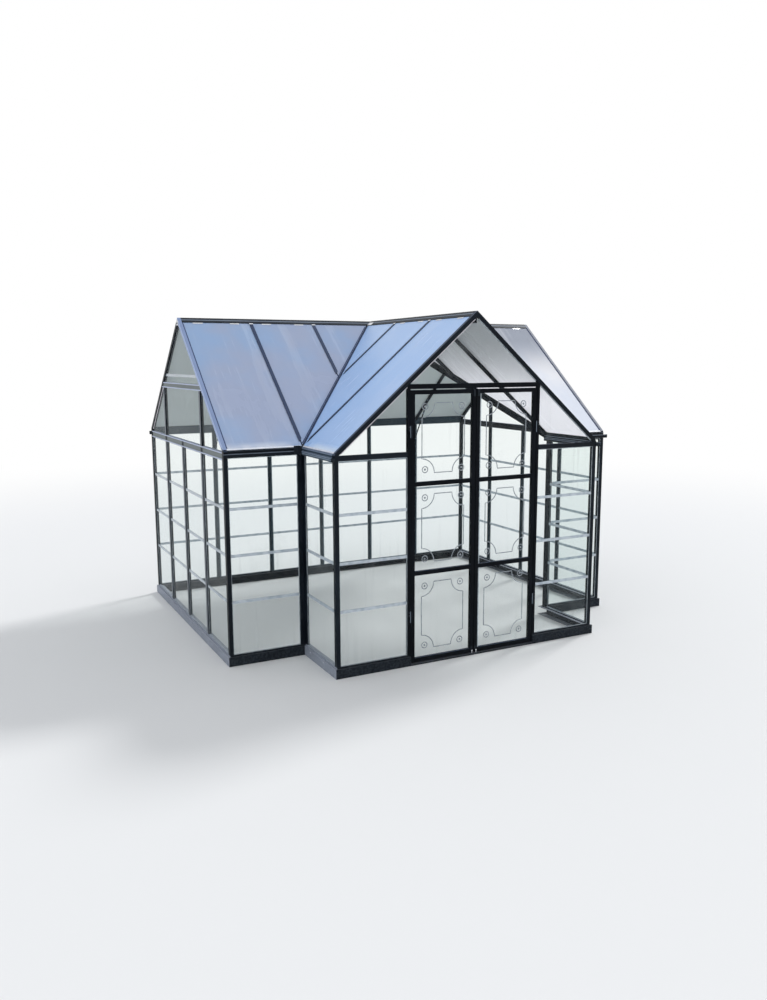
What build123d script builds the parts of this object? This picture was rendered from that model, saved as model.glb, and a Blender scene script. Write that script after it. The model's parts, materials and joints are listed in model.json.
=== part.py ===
"""Glass greenhouse on a T plan: a hall with two gables, and a bay with a double door.

Millimetres, +Z up. The origin is on the ground in the middle of the plan.
X runs along the hall, and the bay with the doors looks towards -Y.
"""

import os
from math import cos, radians, tan

from build123d import *

os.makedirs("parts", exist_ok=True)

# Ground plan, measured between the middles of the wall panes
bay_module = 589
bay_modules = 4
wing_width = 622
hall_module = 612
hall_modules = 4
bay_depth = 622
door_half = 574

# Heights above the ground
base_height = 85
eave_height = 1673
hall_pitch = 39.6
top_pane = 451
pane_height = 361
pane_rows = 4

# Panes, roof sheets and the play that every joint has
glass = 4
sheet = 4
play = 0.3
bite = 8

# Posts
post_out = 12
post_in = 18
cap_width = 40
web = 14
flange_width = 30
flange = 4
corner_wide = 18
corner_deep = 30
corner_radius = 5
corner_groove = 12
inner_leg = 50
inner_wall = 8

# Steel base
base_out = 24
base_depth = 60
base_wall = 3
sill_height = 12
sill_width = 20
threshold_height = 14
threshold_depth = 70

# Eaves
beam_in = 25
beam_height = 63
tie_drop = 21
tie_height = 58
tie_recess = 5
tie_lip = 9
gutter_width = 34
gutter_top = 31
gutter_depth = 29
gutter_wall = 3
gutter_round = 8
gutter_past = 24
sheet_over = 4
front_rail_height = 36

# Gable rafters, rails and ridges
rake_in = 16
rake_depth = 28
rake_lip = 4
rake_line = 3
rake_rest = 4
header_depth = 36
gable_rail_depth = 48
gable_strip_above = 65
ridge_web = 24
ridge_depth = 80
ridge_wing = 45
ridge_plate = 4

# Roof bars and valleys
bar_cap = 29
bar_lip = 4
bar_web = 12
bar_flange_width = 28
bar_flange = 3
bar_depth = 32
valley_gap = 9
valley_wing = 34
valley_plate = 3
valley_web = 20
valley_depth = 50

# Joint strips between the panes of a wall
strip_height = 22
strip_flange = 1.6
strip_web = 4

# Roof braces
brace_width = 20
brace_thick = 4
brace_drop = 160
brace_run = 300

# Doors
door_play = 5.5
meeting_play = 6.5
leaf_lift = 6
leaf_drop = 8
leaf_depth = 28
stile = 32
jamb = 23
lights = 3
hinge_above_bottom = 368
hinge_below_top = 305
hinge_length = 88
hinge_radius = 7
hinge_pin = 3
hinge_flap = 3
hinge_reach = 24

# Scalloped lines on the door lights
scroll_inset = 64
scallop = 108
scallop_sides = 24
scroll_line = 4
scroll_thick = 2
ring_radius = 25
ring_sides = 12
ring_inset = 54

# Worked out from the sizes above
up = Vector(0, 0, 1)
groove = glass + 2 * play
bay_half = bay_modules / 2 * bay_module
half_length = bay_half + wing_width
hall_half = hall_modules / 2 * hall_module
hall_depth = 2 * hall_half
rise = hall_half * tan(radians(hall_pitch))
ridge_height = eave_height + rise
hinge_out = post_out + hinge_radius + play
front_reach = max(hinge_out + hinge_radius, gutter_past, base_out)
back_reach = post_out + play + gutter_width
plan_depth = front_reach + bay_depth + hall_depth + back_reach
back_y = plan_depth / 2 - back_reach
hall_y = back_y - hall_depth
ridge_y = back_y - hall_half
bay_y = hall_y - bay_depth
beam_bottom = eave_height - beam_height
tie_top = eave_height - tie_drop
tie_bottom = tie_top - tie_height
front_rail_bottom = tie_top - front_rail_height
strip_heights = [eave_height - top_pane - pane_height * n for n in range(pane_rows - 1)]
mid_of_hall = Plane(origin=(0, ridge_y, 0), z_dir=(0, 1, 0))


class Wall:
    """A straight wall seen from outside, running from its left end to its right end."""

    def __init__(self, start, end):
        self.start = Vector(*start)
        self.end = Vector(*end)
        self.length = (self.end - self.start).length
        self.along = (self.end - self.start).normalized()
        self.out = self.along.cross(up)

    def face(self, depth=0.0):
        """The plane of the panes: x along the wall, y up, looking out."""
        return Plane(self.start + self.out * depth, x_dir=self.along, z_dir=self.out)

    def cross(self, place):
        """A cross-section of the wall: x outward, y up."""
        return Plane(self.start + self.along * place, x_dir=self.out, z_dir=-self.along)

    def foot(self, place, height):
        """A level plane under a post: y outward."""
        return Plane(self.start + self.along * place + up * height, x_dir=-self.along, z_dir=up)

    def mitre_start(self, convex=True):
        """The plane of the mitre at the left end."""
        return Plane(self.start, z_dir=-self.along - self.out * (1 if convex else -1))

    def mitre_end(self, convex=True):
        """The plane of the mitre at the right end."""
        return Plane(self.end, z_dir=self.along - self.out * (1 if convex else -1))


class Slope:
    """A roof slope over one wall, measured from the top of its sheets at the wall."""

    def __init__(self, foot, inward, run):
        self.foot = Vector(*foot)
        self.inward = Vector(*inward)
        self.run = run
        self.tan = rise / run
        self.up = (self.inward + up * self.tan).normalized()
        self.cos = self.up.dot(self.inward)
        self.normal = (up - self.inward * self.tan).normalized()
        self.along = self.up.cross(self.normal)

    def surface(self, depth=0.0):
        """A plane parallel to the sheets: x along the eave, y up the slope."""
        return Plane(self.foot + self.normal * depth, x_dir=self.along, z_dir=self.normal)

    def cross(self, place, run):
        """A section across the slope: y out of the roof."""
        origin = self.foot + self.along * place + self.up * (run / self.cos)
        return Plane(origin, x_dir=-self.along, z_dir=self.up)

    def side(self, place):
        """A side view: x inward, y up from the eave."""
        return Plane(self.foot + self.along * place, x_dir=self.inward, z_dir=self.along)

    def upright(self, run):
        """An upright plane at a run from the wall, facing inward."""
        return Plane(self.foot + self.inward * run, z_dir=self.inward)

    def height(self, run, depth=0.0):
        """Height above the eave at a run, at a depth under the sheets' top."""
        return run * self.tan - depth / self.cos


# Walls, counterclockwise from the left wing
left_wing = Wall((-half_length, hall_y, 0), (-bay_half, hall_y, 0))
left_bay = Wall((-bay_half, hall_y, 0), (-bay_half, bay_y, 0))
front = Wall((-bay_half, bay_y, 0), (bay_half, bay_y, 0))
back = Wall((half_length, back_y, 0), (-half_length, back_y, 0))
left_side = Wall((-half_length, back_y, 0), (-half_length, hall_y, 0))

# Roof slopes
front_slope = Slope((0, hall_y, eave_height), (0, 1, 0), hall_half)
back_slope = Slope((0, back_y, eave_height), (0, -1, 0), hall_half)
bay_slope = Slope((-bay_half, hall_y, eave_height), (1, 0, 0), bay_half)

# Rails whose tops meet the gable rafters at the posts that carry them
gable_rail_top = eave_height + front_slope.height(hall_module, rake_depth) - rake_rest
gable_rail_height = gable_rail_top - gable_rail_depth
gable_strip = gable_rail_top + gable_strip_above
header_top = eave_height + bay_slope.height(bay_half - door_half, rake_depth) - rake_rest
header_height = header_top - header_depth
leaf_bottom = threshold_height + leaf_lift
leaf_top = header_height - leaf_drop
hinge_heights = (leaf_bottom + hinge_above_bottom, leaf_top - hinge_below_top)

# The upright plane of the left valley, facing the hall
valley = Plane((-bay_half, hall_y, 0), z_dir=(-hall_half, bay_half, 0))


def finish(name, shape):
    """Label a piece and write its file."""
    shape.label = name
    export_step(shape, f"parts/{name}.step")


def run_along(wall, section, start, end):
    """A section drawn across a wall, run between two places along it."""
    with BuildPart() as member:
        extrude(section(wall.cross(end)), amount=end - start)
    return member.part


def base_section(plane):
    """A steel channel open to the inside, with a sill that holds the panes."""
    with BuildSketch(plane) as section:
        with Locations((base_out, 0)):
            Rectangle(base_depth, base_height - sill_height, align=(Align.MAX, Align.MIN))
        with Locations((base_out - base_wall, base_wall)):
            Rectangle(
                base_depth,
                base_height - sill_height - 2 * base_wall,
                align=(Align.MAX, Align.MIN),
                mode=Mode.SUBTRACT,
            )
        with Locations((0, base_height - sill_height)):
            Rectangle(sill_width, sill_height, align=(Align.CENTER, Align.MIN))
        with Locations((0, base_height)):
            Rectangle(groove, bite + play, align=(Align.CENTER, Align.MAX), mode=Mode.SUBTRACT)
    return section.sketch


def beam_section(plane):
    """An eave beam with its top cut to the slope of the roof."""
    bed = sheet + play
    slope = front_slope
    with BuildSketch(plane) as section:
        with BuildLine():
            Polyline(
                (-beam_in, beam_bottom),
                (post_out, beam_bottom),
                (post_out, eave_height + slope.height(-post_out, bed)),
                (-beam_in, eave_height + slope.height(beam_in, bed)),
                close=True,
            )
        make_face()
        with Locations((0, beam_bottom)):
            Rectangle(groove, bite + play, align=(Align.CENTER, Align.MIN), mode=Mode.SUBTRACT)
    return section.sketch


def gutter_section(plane):
    """A box gutter with a rolled outer lip, fixed to the face of the eave beam."""
    near = post_out + play
    top = eave_height - gutter_top
    with BuildSketch(plane) as section:
        with Locations((near, top)):
            Rectangle(gutter_width, gutter_depth, align=(Align.MIN, Align.MAX))
        outer_corner = (near + gutter_width, top - gutter_depth)
        fillet(section.vertices().sort_by_distance(outer_corner)[0], radius=gutter_round)
        with Locations((near, top)):
            Rectangle(
                gutter_width - gutter_wall,
                gutter_depth - gutter_wall,
                align=(Align.MIN, Align.MAX),
                mode=Mode.SUBTRACT,
            )
        with Locations((near + gutter_width - gutter_wall, top)):
            Circle(gutter_wall)
    return section.sketch


def rail_section(bottom, height, lower=True, recess=0):
    """A rail in the wall with a groove for the panes above and below.

    A recess leaves a lip along the top and the bottom of its outer face.
    """

    def draw(plane):
        with BuildSketch(plane) as section:
            with Locations((post_out, bottom)):
                Rectangle(post_out + beam_in, height, align=(Align.MAX, Align.MIN))
            if recess:
                with Locations((post_out, bottom + tie_lip)):
                    Rectangle(
                        recess,
                        height - 2 * tie_lip,
                        align=(Align.MAX, Align.MIN),
                        mode=Mode.SUBTRACT,
                    )
            with Locations((0, bottom + height)):
                Rectangle(groove, bite + play, align=(Align.CENTER, Align.MAX), mode=Mode.SUBTRACT)
            if lower:
                with Locations((0, bottom)):
                    Rectangle(groove, bite + play, align=(Align.CENTER, Align.MIN), mode=Mode.SUBTRACT)
        return section.sketch

    return draw


def post_section(plane):
    """A glazing post: outer cap, web between the panes, inner flange and stem."""
    with BuildSketch(plane) as section:
        with Locations((0, post_out)):
            Rectangle(cap_width, post_out - groove / 2, align=(Align.CENTER, Align.MAX))
            Rectangle(web, post_out + post_in, align=(Align.CENTER, Align.MAX))
        with Locations((0, -groove / 2)):
            Rectangle(flange_width, flange, align=(Align.CENTER, Align.MAX))
    return section.sketch


def post(wall, place, bottom, top):
    """One glazing post at a place along a wall."""
    with BuildPart() as member:
        extrude(post_section(wall.foot(place, bottom)), amount=top - bottom)
    return member.part


def corner_section(plane):
    """A corner post with a groove for the panes of each wall and a rounded edge."""
    with BuildSketch(plane) as section:
        with Locations((-post_out, -post_out)):
            Rectangle(post_out + corner_wide, post_out + corner_deep, align=(Align.MIN, Align.MIN))
        outer_corner = section.vertices().sort_by_distance((-post_out, -post_out))[0]
        fillet(outer_corner, radius=corner_radius)
        with Locations((corner_wide, 0)):
            Rectangle(corner_groove, groove, align=(Align.MAX, Align.CENTER), mode=Mode.SUBTRACT)
        with Locations((0, corner_deep)):
            Rectangle(groove, corner_groove, align=(Align.CENTER, Align.MAX), mode=Mode.SUBTRACT)
    return section.sketch


def inner_corner_section(plane):
    """The angle post where the bay meets the hall: two legs, each with a groove for a pane."""
    with BuildSketch(plane) as section:
        with Locations((-inner_wall, -inner_wall)):
            Rectangle(inner_wall + inner_leg, 2 * inner_wall, align=(Align.MIN, Align.MIN))
            Rectangle(2 * inner_wall, inner_wall + inner_leg, align=(Align.MIN, Align.MIN))
        with Locations((inner_leg, 0)):
            Rectangle(corner_groove, groove, align=(Align.MAX, Align.CENTER), mode=Mode.SUBTRACT)
        with Locations((0, inner_leg)):
            Rectangle(groove, corner_groove, align=(Align.CENTER, Align.MAX), mode=Mode.SUBTRACT)
    return section.sketch


def bar_section(plane, above=True):
    """A roof bar: its cap and web above, or its flange and stem below the sheets."""
    bed = sheet + play
    with BuildSketch(plane) as section:
        if above:
            with Locations((0, play)):
                Rectangle(bar_cap, bar_lip, align=(Align.CENTER, Align.MIN))
                Rectangle(bar_web, bed + play, align=(Align.CENTER, Align.MAX))
        else:
            with Locations((0, -bed)):
                Rectangle(bar_flange_width, bar_flange, align=(Align.CENTER, Align.MAX))
                Rectangle(bar_web, bar_depth - bed, align=(Align.CENTER, Align.MAX))
    return section.sketch


def roof_bar(slope, place, cut=None):
    """One roof bar from the eave to the ridge, cut short at a valley where one is given."""
    length = (slope.run + sheet_over) / slope.cos
    start = slope.cross(place, -sheet_over)
    with BuildPart() as stem:
        extrude(bar_section(start, above=False), amount=length)
        split(bisect_by=slope.upright(beam_in + play), keep=Keep.TOP)
        split(bisect_by=slope.upright(slope.run - ridge_web / 2 - play), keep=Keep.BOTTOM)
    with BuildPart() as bar:
        extrude(bar_section(start), amount=length)
        split(bisect_by=slope.upright(slope.run - ridge_wing - play), keep=Keep.BOTTOM)
        add(stem.part)
        if cut is not None:
            split(bisect_by=cut, keep=Keep.TOP)
    return bar.part


def rake(slope, place, side, corner, seat):
    """A gable rafter over a gable wall, with grooves for the sheets and for the gable panes."""
    length = (slope.run + sheet_over) / slope.cos
    plane = slope.cross(place, -sheet_over)
    inner = (Align.MIN, Align.MAX) if side > 0 else (Align.MAX, Align.MAX)
    clear = 4 * rake_depth
    with BuildPart() as member:
        with BuildSketch(plane) as section:
            with Locations((-side * rake_in, rake_lip)):
                Rectangle(rake_in + post_out, rake_lip + rake_depth, align=inner)
            with Locations((side * post_out, -rake_depth / 2)):
                Rectangle(2 * rake_line, rake_line, mode=Mode.SUBTRACT)
            with Locations((-side * rake_in, play)):
                Rectangle(bite + play, sheet + 2 * play, align=inner, mode=Mode.SUBTRACT)
            with Locations((0, -rake_depth)):
                Rectangle(groove, bite + play, align=(Align.CENTER, Align.MIN), mode=Mode.SUBTRACT)
        extrude(amount=length + rake_depth)
        split(bisect_by=slope.upright(slope.run), keep=Keep.BOTTOM)
        with BuildSketch(slope.side(place)) as foot:
            with BuildLine():
                Polyline(
                    (-clear, -clear),
                    (clear, -clear),
                    (clear, seat + play),
                    (corner + play, seat + play),
                    (corner + play, slope.height(corner + play, sheet + play)),
                    (-clear, slope.height(-clear, sheet + play)),
                    close=True,
                )
            make_face()
        extrude(amount=clear, both=True, mode=Mode.SUBTRACT)
    return member.part


def under_rake(slope):
    """The underside of a gable rafter, with its play."""
    return slope.surface(-rake_depth - play)


def mirrored(plane):
    """The same plane on the other side of the middle of the bay."""
    return Plane(
        (-plane.origin.X, plane.origin.Y, plane.origin.Z),
        z_dir=(-plane.z_dir.X, plane.z_dir.Y, plane.z_dir.Z),
    )


def behind(plane):
    """The same plane on the other side of the ridge of the hall."""
    return Plane(
        (plane.origin.X, 2 * ridge_y - plane.origin.Y, plane.origin.Z),
        z_dir=(plane.z_dir.X, -plane.z_dir.Y, plane.z_dir.Z),
    )


def wall_panes(wall, edges, posts, rail=beam_bottom):
    """All panes of a wall: one for each space between posts and joint strips."""
    bottom = base_height - bite
    top = rail + bite
    with BuildPart() as panes:
        with BuildSketch(wall.face(-glass / 2)) as outline:
            with Locations((edges[0], bottom)):
                Rectangle(edges[1] - edges[0], top - bottom, align=(Align.MIN, Align.MIN))
            for place in posts:
                with Locations((place, bottom)):
                    Rectangle(
                        web + 2 * play, top - bottom, align=(Align.CENTER, Align.MIN), mode=Mode.SUBTRACT
                    )
            for height in strip_heights:
                with Locations((edges[0], height)):
                    Rectangle(
                        edges[1] - edges[0],
                        strip_web + 2 * play,
                        align=(Align.MIN, Align.CENTER),
                        mode=Mode.SUBTRACT,
                    )
        extrude(amount=glass)
    return panes.part


def strip_section(height):
    """A joint strip: an H that holds the pane above and the pane below."""

    def draw(plane):
        with BuildSketch(plane) as section:
            with Locations((0, height)):
                Rectangle(groove + 2 * strip_flange, strip_height)
                with Locations((0, strip_web / 2)):
                    Rectangle(
                        groove, strip_height / 2, align=(Align.CENTER, Align.MIN), mode=Mode.SUBTRACT
                    )
                with Locations((0, -strip_web / 2)):
                    Rectangle(
                        groove, strip_height / 2, align=(Align.CENTER, Align.MAX), mode=Mode.SUBTRACT
                    )
        return section.sketch

    return draw


def wall_strips(wall, spans):
    """The joint strips of a wall, between the faces of its posts."""
    with BuildPart() as strips:
        for start, end in spans:
            for height in strip_heights:
                add(run_along(wall, strip_section(height), start, end))
    return strips.part


def spans_between(first, posts, last):
    """The clear spans between the caps of posts, from one wall end to the other."""
    cap = cap_width / 2 + play
    starts = [first + play] + [place + cap for place in posts]
    ends = [place - cap for place in posts] + [last - play]
    return list(zip(starts, ends))


# Base
reach = base_depth + base_out

with BuildPart() as side_bases:
    extrude(base_section(left_side.cross(hall_depth + reach)), amount=hall_depth + 2 * reach)
    split(bisect_by=left_side.mitre_start(), keep=Keep.BOTTOM)
    split(bisect_by=left_side.mitre_end(), keep=Keep.BOTTOM)
    mirror(about=Plane.YZ)
finish("side_bases", side_bases.part)

with BuildPart() as back_base:
    extrude(base_section(back.cross(back.length + reach)), amount=back.length + 2 * reach)
    split(bisect_by=back.mitre_start(), keep=Keep.BOTTOM)
    split(bisect_by=back.mitre_end(), keep=Keep.BOTTOM)
finish("back_base", back_base.part)

with BuildPart() as wing_bases:
    extrude(base_section(left_wing.cross(wing_width + reach)), amount=wing_width + 2 * reach)
    split(bisect_by=left_wing.mitre_start(), keep=Keep.BOTTOM)
    split(bisect_by=left_wing.mitre_end(convex=False), keep=Keep.BOTTOM)
    mirror(about=Plane.YZ)
finish("wing_bases", wing_bases.part)

with BuildPart() as bay_bases:
    extrude(base_section(left_bay.cross(bay_depth + reach)), amount=bay_depth + 2 * reach)
    split(bisect_by=left_bay.mitre_start(convex=False), keep=Keep.BOTTOM)
    split(bisect_by=left_bay.mitre_end(), keep=Keep.BOTTOM)
    mirror(about=Plane.YZ)
finish("bay_bases", bay_bases.part)

with BuildPart() as front_bases:
    extrude(base_section(front.cross(bay_half - door_half)), amount=bay_half - door_half + reach)
    split(bisect_by=front.mitre_start(), keep=Keep.BOTTOM)
    mirror(about=Plane.YZ)
finish("front_bases", front_bases.part)

with BuildPart() as door_threshold:
    with BuildSketch(front.cross(bay_half + door_half)):
        with Locations((base_out, 0)):
            Rectangle(threshold_depth, threshold_height, align=(Align.MAX, Align.MIN))
    extrude(amount=2 * door_half)
    tops = door_threshold.faces().sort_by(Axis.Z)[-1].edges().filter_by(Axis.X)
    chamfer(tops, length=threshold_height / 3)
finish("door_threshold", door_threshold.part)

# Posts
side_places = [hall_module * n for n in range(1, hall_modules)]
back_places = [half_length + bay_module * n for n in range(-bay_modules // 2, bay_modules // 2 + 1)]
ridge_place = hall_half

with BuildPart() as left_wall_posts:
    for place in side_places:
        add(post(left_side, place, base_height, tie_bottom))
    for place in side_places:
        if place != ridge_place:
            add(post(left_side, place, tie_top, gable_rail_height - play))
    split(bisect_by=under_rake(front_slope), keep=Keep.BOTTOM)
    split(bisect_by=behind(under_rake(front_slope)), keep=Keep.BOTTOM)
finish("left_wall_posts", left_wall_posts.part)

with BuildPart() as right_wall_posts:
    add(mirror(left_wall_posts.part, about=Plane.YZ, mode=Mode.PRIVATE))
finish("right_wall_posts", right_wall_posts.part)

with BuildPart() as back_wall_posts:
    for place in back_places:
        add(post(back, place, base_height, beam_bottom))
finish("back_wall_posts", back_wall_posts.part)

with BuildPart() as hall_corner_posts:
    extrude(corner_section(Plane((-half_length, hall_y, base_height))), amount=eave_height)
    split(bisect_by=front_slope.surface(-sheet - 2 * play), keep=Keep.BOTTOM)
    mirror(about=mid_of_hall)
    mirror(about=Plane.YZ)
finish("hall_corner_posts", hall_corner_posts.part)

with BuildPart() as bay_corner_posts:
    extrude(corner_section(Plane((-bay_half, bay_y, base_height))), amount=eave_height)
    split(bisect_by=bay_slope.surface(-sheet - 2 * play), keep=Keep.BOTTOM)
    extrude(
        inner_corner_section(Plane((-bay_half, hall_y, base_height), x_dir=(-1, 0, 0))),
        amount=beam_bottom - base_height,
    )
    mirror(about=Plane.YZ)
finish("bay_corner_posts", bay_corner_posts.part)

# Hinges: a lift-off pair on each side, its upper half with the pin on the door post
hinge_x = -door_half + door_play / 2
hinge_y = bay_y - hinge_out


def hinge_half(height, sign, low, high):
    """One knuckle and its flap, from low to high above the middle of the hinge."""
    with BuildPart() as half:
        with BuildSketch(Plane((hinge_x, hinge_y, height + low))):
            Circle(hinge_radius)
            with Locations((0, hinge_radius + play)):
                Rectangle(
                    hinge_reach,
                    hinge_flap,
                    align=(Align.MAX if sign < 0 else Align.MIN, Align.MAX),
                )
        extrude(amount=high - low)
    return half.part


with BuildPart() as door_posts:
    with BuildSketch(Plane((-door_half, bay_y, base_height))):
        Rectangle(jamb, post_out, align=(Align.MAX, Align.MAX))
        Rectangle(jamb, post_in, align=(Align.MAX, Align.MIN))
        with Locations((-jamb, 0)):
            Rectangle(bite + play, groove, align=(Align.MIN, Align.CENTER), mode=Mode.SUBTRACT)
    extrude(amount=ridge_height)
    split(bisect_by=under_rake(bay_slope), keep=Keep.BOTTOM)
    for height in hinge_heights:
        add(hinge_half(height, -1, play / 2, hinge_length / 2))
        with BuildSketch(Plane((hinge_x, hinge_y, height - hinge_length / 2))):
            Circle(hinge_pin)
        extrude(amount=hinge_length)
    mirror(about=Plane.YZ)
finish("door_posts", door_posts.part)

# Eave beams with their gutters
with BuildPart() as back_eave:
    add(run_along(back, beam_section, corner_wide + play, back.length - corner_wide - play))
    add(run_along(back, gutter_section, -gutter_past, back.length + gutter_past))
finish("back_eave", back_eave.part)

with BuildPart() as wing_eaves:
    add(run_along(left_wing, beam_section, corner_wide + play, wing_width + reach))
    add(run_along(left_wing, gutter_section, -gutter_past, wing_width + reach))
    split(bisect_by=left_wing.mitre_end(convex=False), keep=Keep.BOTTOM)
    mirror(about=Plane.YZ)
finish("wing_eaves", wing_eaves.part)

with BuildPart() as bay_eaves:
    add(run_along(left_bay, beam_section, -reach, bay_depth - corner_deep - play))
    add(run_along(left_bay, gutter_section, -reach, bay_depth + gutter_past))
    split(bisect_by=left_bay.mitre_start(convex=False), keep=Keep.BOTTOM)
    mirror(about=Plane.YZ)
finish("bay_eaves", bay_eaves.part)

# Rails of the gables
with BuildPart() as tie_beams:
    tie = rail_section(tie_bottom, tie_height, recess=tie_recess)
    add(run_along(left_side, tie, corner_deep + play, hall_depth - corner_deep - play))
    mirror(about=Plane.YZ)
finish("tie_beams", tie_beams.part)

with BuildPart() as gable_rails:
    gable_rail = rail_section(gable_rail_height, gable_rail_depth, recess=tie_recess)
    add(run_along(left_side, gable_rail, 0, hall_depth))
    split(bisect_by=under_rake(front_slope), keep=Keep.BOTTOM)
    split(bisect_by=behind(under_rake(front_slope)), keep=Keep.BOTTOM)
    mirror(about=Plane.YZ)
finish("gable_rails", gable_rails.part)

with BuildPart() as front_rails:
    side_rail = rail_section(front_rail_bottom, front_rail_height)
    add(run_along(front, side_rail, corner_wide + play, bay_half - door_half - jamb - play))
    mirror(about=Plane.YZ)
finish("front_rails", front_rails.part)

with BuildPart() as door_header:
    head = rail_section(header_height, header_depth, lower=False)
    add(run_along(front, head, bay_half - door_half + play, bay_half + door_half - play))
    split(bisect_by=under_rake(bay_slope), keep=Keep.BOTTOM)
    split(bisect_by=mirrored(under_rake(bay_slope)), keep=Keep.BOTTOM)
finish("door_header", door_header.part)

# Gable rafters
with BuildPart() as left_gable_rafters:
    add(rake(front_slope, -half_length, 1, corner_deep, -tie_drop))
    mirror(about=mid_of_hall)
finish("left_gable_rafters", left_gable_rafters.part)

with BuildPart() as right_gable_rafters:
    add(mirror(left_gable_rafters.part, about=Plane.YZ, mode=Mode.PRIVATE))
finish("right_gable_rafters", right_gable_rafters.part)

with BuildPart() as front_gable_rafters:
    add(rake(bay_slope, bay_depth, -1, corner_wide, -tie_drop))
    mirror(about=Plane.YZ)
finish("front_gable_rafters", front_gable_rafters.part)


# Ridges
def ridge_section(plane, slope):
    """A ridge beam under a folded cap that covers the upper ends of the sheets."""
    low = play / slope.cos
    high = (play + ridge_plate) / slope.cos
    drop = ridge_wing * slope.tan
    with BuildSketch(plane) as section:
        with BuildLine():
            Polyline(
                (0, high),
                (ridge_wing, high - drop),
                (ridge_wing, low - drop),
                (0, low),
                (-ridge_wing, low - drop),
                (-ridge_wing, high - drop),
                close=True,
            )
        make_face()
        with Locations((0, high - ridge_web / 2 * slope.tan)):
            Rectangle(ridge_web, ridge_depth, align=(Align.CENTER, Align.MAX))
    return section.sketch


with BuildPart() as hall_ridge:
    start = rake_in + play - half_length
    plane = Plane((start, ridge_y, ridge_height), x_dir=(0, 1, 0), z_dir=(1, 0, 0))
    extrude(ridge_section(plane, front_slope), amount=-2 * start)
finish("hall_ridge", hall_ridge.part)

with BuildPart() as bay_ridge:
    start = bay_y + rake_in + play
    plane = Plane((0, start, ridge_height), x_dir=(-1, 0, 0), z_dir=(0, 1, 0))
    extrude(ridge_section(plane, bay_slope), amount=ridge_y - ridge_wing - play - start)
finish("bay_ridge", bay_ridge.part)

# Valleys
valley_run = Vector(bay_half, hall_half, 0).normalized()
valley_climb = (Vector(bay_half, hall_half, rise)).normalized()
hall_side = front_slope.tan * valley.z_dir.Y
bay_side = bay_slope.tan * -valley.z_dir.X

with BuildPart() as valley_rafters:
    foot = Plane((-bay_half, hall_y, eave_height), x_dir=valley.z_dir, z_dir=valley_run)
    bed = sheet + play
    top = -bed / front_slope.cos
    low = top - valley_plate / front_slope.cos
    with BuildSketch(foot) as section:
        with BuildLine():
            Polyline(
                (0, top),
                (valley_wing, top + valley_wing * hall_side),
                (valley_wing, low + valley_wing * hall_side),
                (0, low),
                (-valley_wing, low + valley_wing * bay_side),
                (-valley_wing, top + valley_wing * bay_side),
                close=True,
            )
        make_face()
        with Locations((0, top)):
            Rectangle(valley_web, valley_depth, align=(Align.CENTER, Align.MAX))
    extrude(section.sketch, amount=2 * hall_half + bay_half, dir=valley_climb)
    inner_corner = Plane((-bay_half + beam_in + play, hall_y + beam_in + play, 0))
    with BuildSketch(inner_corner) as notch:
        Rectangle(hall_half, hall_half, align=(Align.MAX, Align.MAX))
    extrude(notch.sketch, amount=ridge_height, mode=Mode.SUBTRACT)
    split(bisect_by=Plane((-ridge_wing - play, 0, 0), z_dir=(1, 0, 0)), keep=Keep.BOTTOM)
    split(bisect_by=Plane((0, ridge_y - ridge_wing - play, 0), z_dir=(0, 1, 0)), keep=Keep.BOTTOM)
    mirror(about=Plane.YZ)
finish("valley_rafters", valley_rafters.part)

# Roof bars
hall_cut = valley.offset(valley_wing + play)
bay_cut = Plane(valley.origin - valley.z_dir * (valley_wing + play), z_dir=-valley.z_dir)

with BuildPart() as front_roof_bars:
    for n in range(1, bay_modules // 2 + 1):
        add(roof_bar(front_slope, -bay_module * n, hall_cut))
    mirror(about=Plane.YZ)
finish("front_roof_bars", front_roof_bars.part)

with BuildPart() as back_roof_bars:
    for n in range(-bay_modules // 2, bay_modules // 2 + 1):
        add(roof_bar(back_slope, bay_module * n))
finish("back_roof_bars", back_roof_bars.part)

with BuildPart() as bay_roof_bars:
    for n in range(hall_modules // 2):
        add(roof_bar(bay_slope, -hall_module * n, bay_cut))
    mirror(about=Plane.YZ)
finish("bay_roof_bars", bay_roof_bars.part)


# Roof sheets
def roof_sheets(slope, edges, cut=None):
    """The sheets of a slope between pairs of edges, cut along a valley where one is given."""
    low = -sheet_over / slope.cos
    high = (slope.run - ridge_web / 2 - play) / slope.cos - sheet * slope.tan
    with BuildPart() as cover:
        with BuildSketch(slope.surface(-sheet)):
            for left, right in edges:
                with Locations((left, low)):
                    Rectangle(right - left, high - low, align=(Align.MIN, Align.MIN))
        extrude(amount=sheet)
        if cut is not None:
            split(bisect_by=cut, keep=Keep.TOP)
    return cover.part


def edges_between(lines, first, last):
    """Pairs of sheet edges between bars, from one end of a slope to the other."""
    side = bar_web / 2 + play
    starts = [first] + [line + side for line in lines]
    ends = [line - side for line in lines] + [last]
    return list(zip(starts, ends))


gable_edge = half_length - rake_in + bite
bar_lines = [bay_module * n for n in range(-bay_modules // 2, bay_modules // 2 + 1)]
front_lines = [line for line in bar_lines if line < 0]
bay_lines = [-hall_module * n for n in reversed(range(hall_modules // 2))]
hall_sheet_cut = valley.offset(valley_gap)
bay_sheet_cut = Plane(valley.origin - valley.z_dir * valley_gap, z_dir=-valley.z_dir)

with BuildPart() as back_roof_sheets:
    add(roof_sheets(back_slope, edges_between(bar_lines, -gable_edge, gable_edge)))
finish("back_roof_sheets", back_roof_sheets.part)

with BuildPart() as left_roof_sheets:
    add(roof_sheets(front_slope, edges_between(front_lines, -gable_edge, -ridge_web), hall_sheet_cut))
finish("left_roof_sheets", left_roof_sheets.part)

with BuildPart() as right_roof_sheets:
    add(mirror(left_roof_sheets.part, about=Plane.YZ, mode=Mode.PRIVATE))
finish("right_roof_sheets", right_roof_sheets.part)

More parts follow.
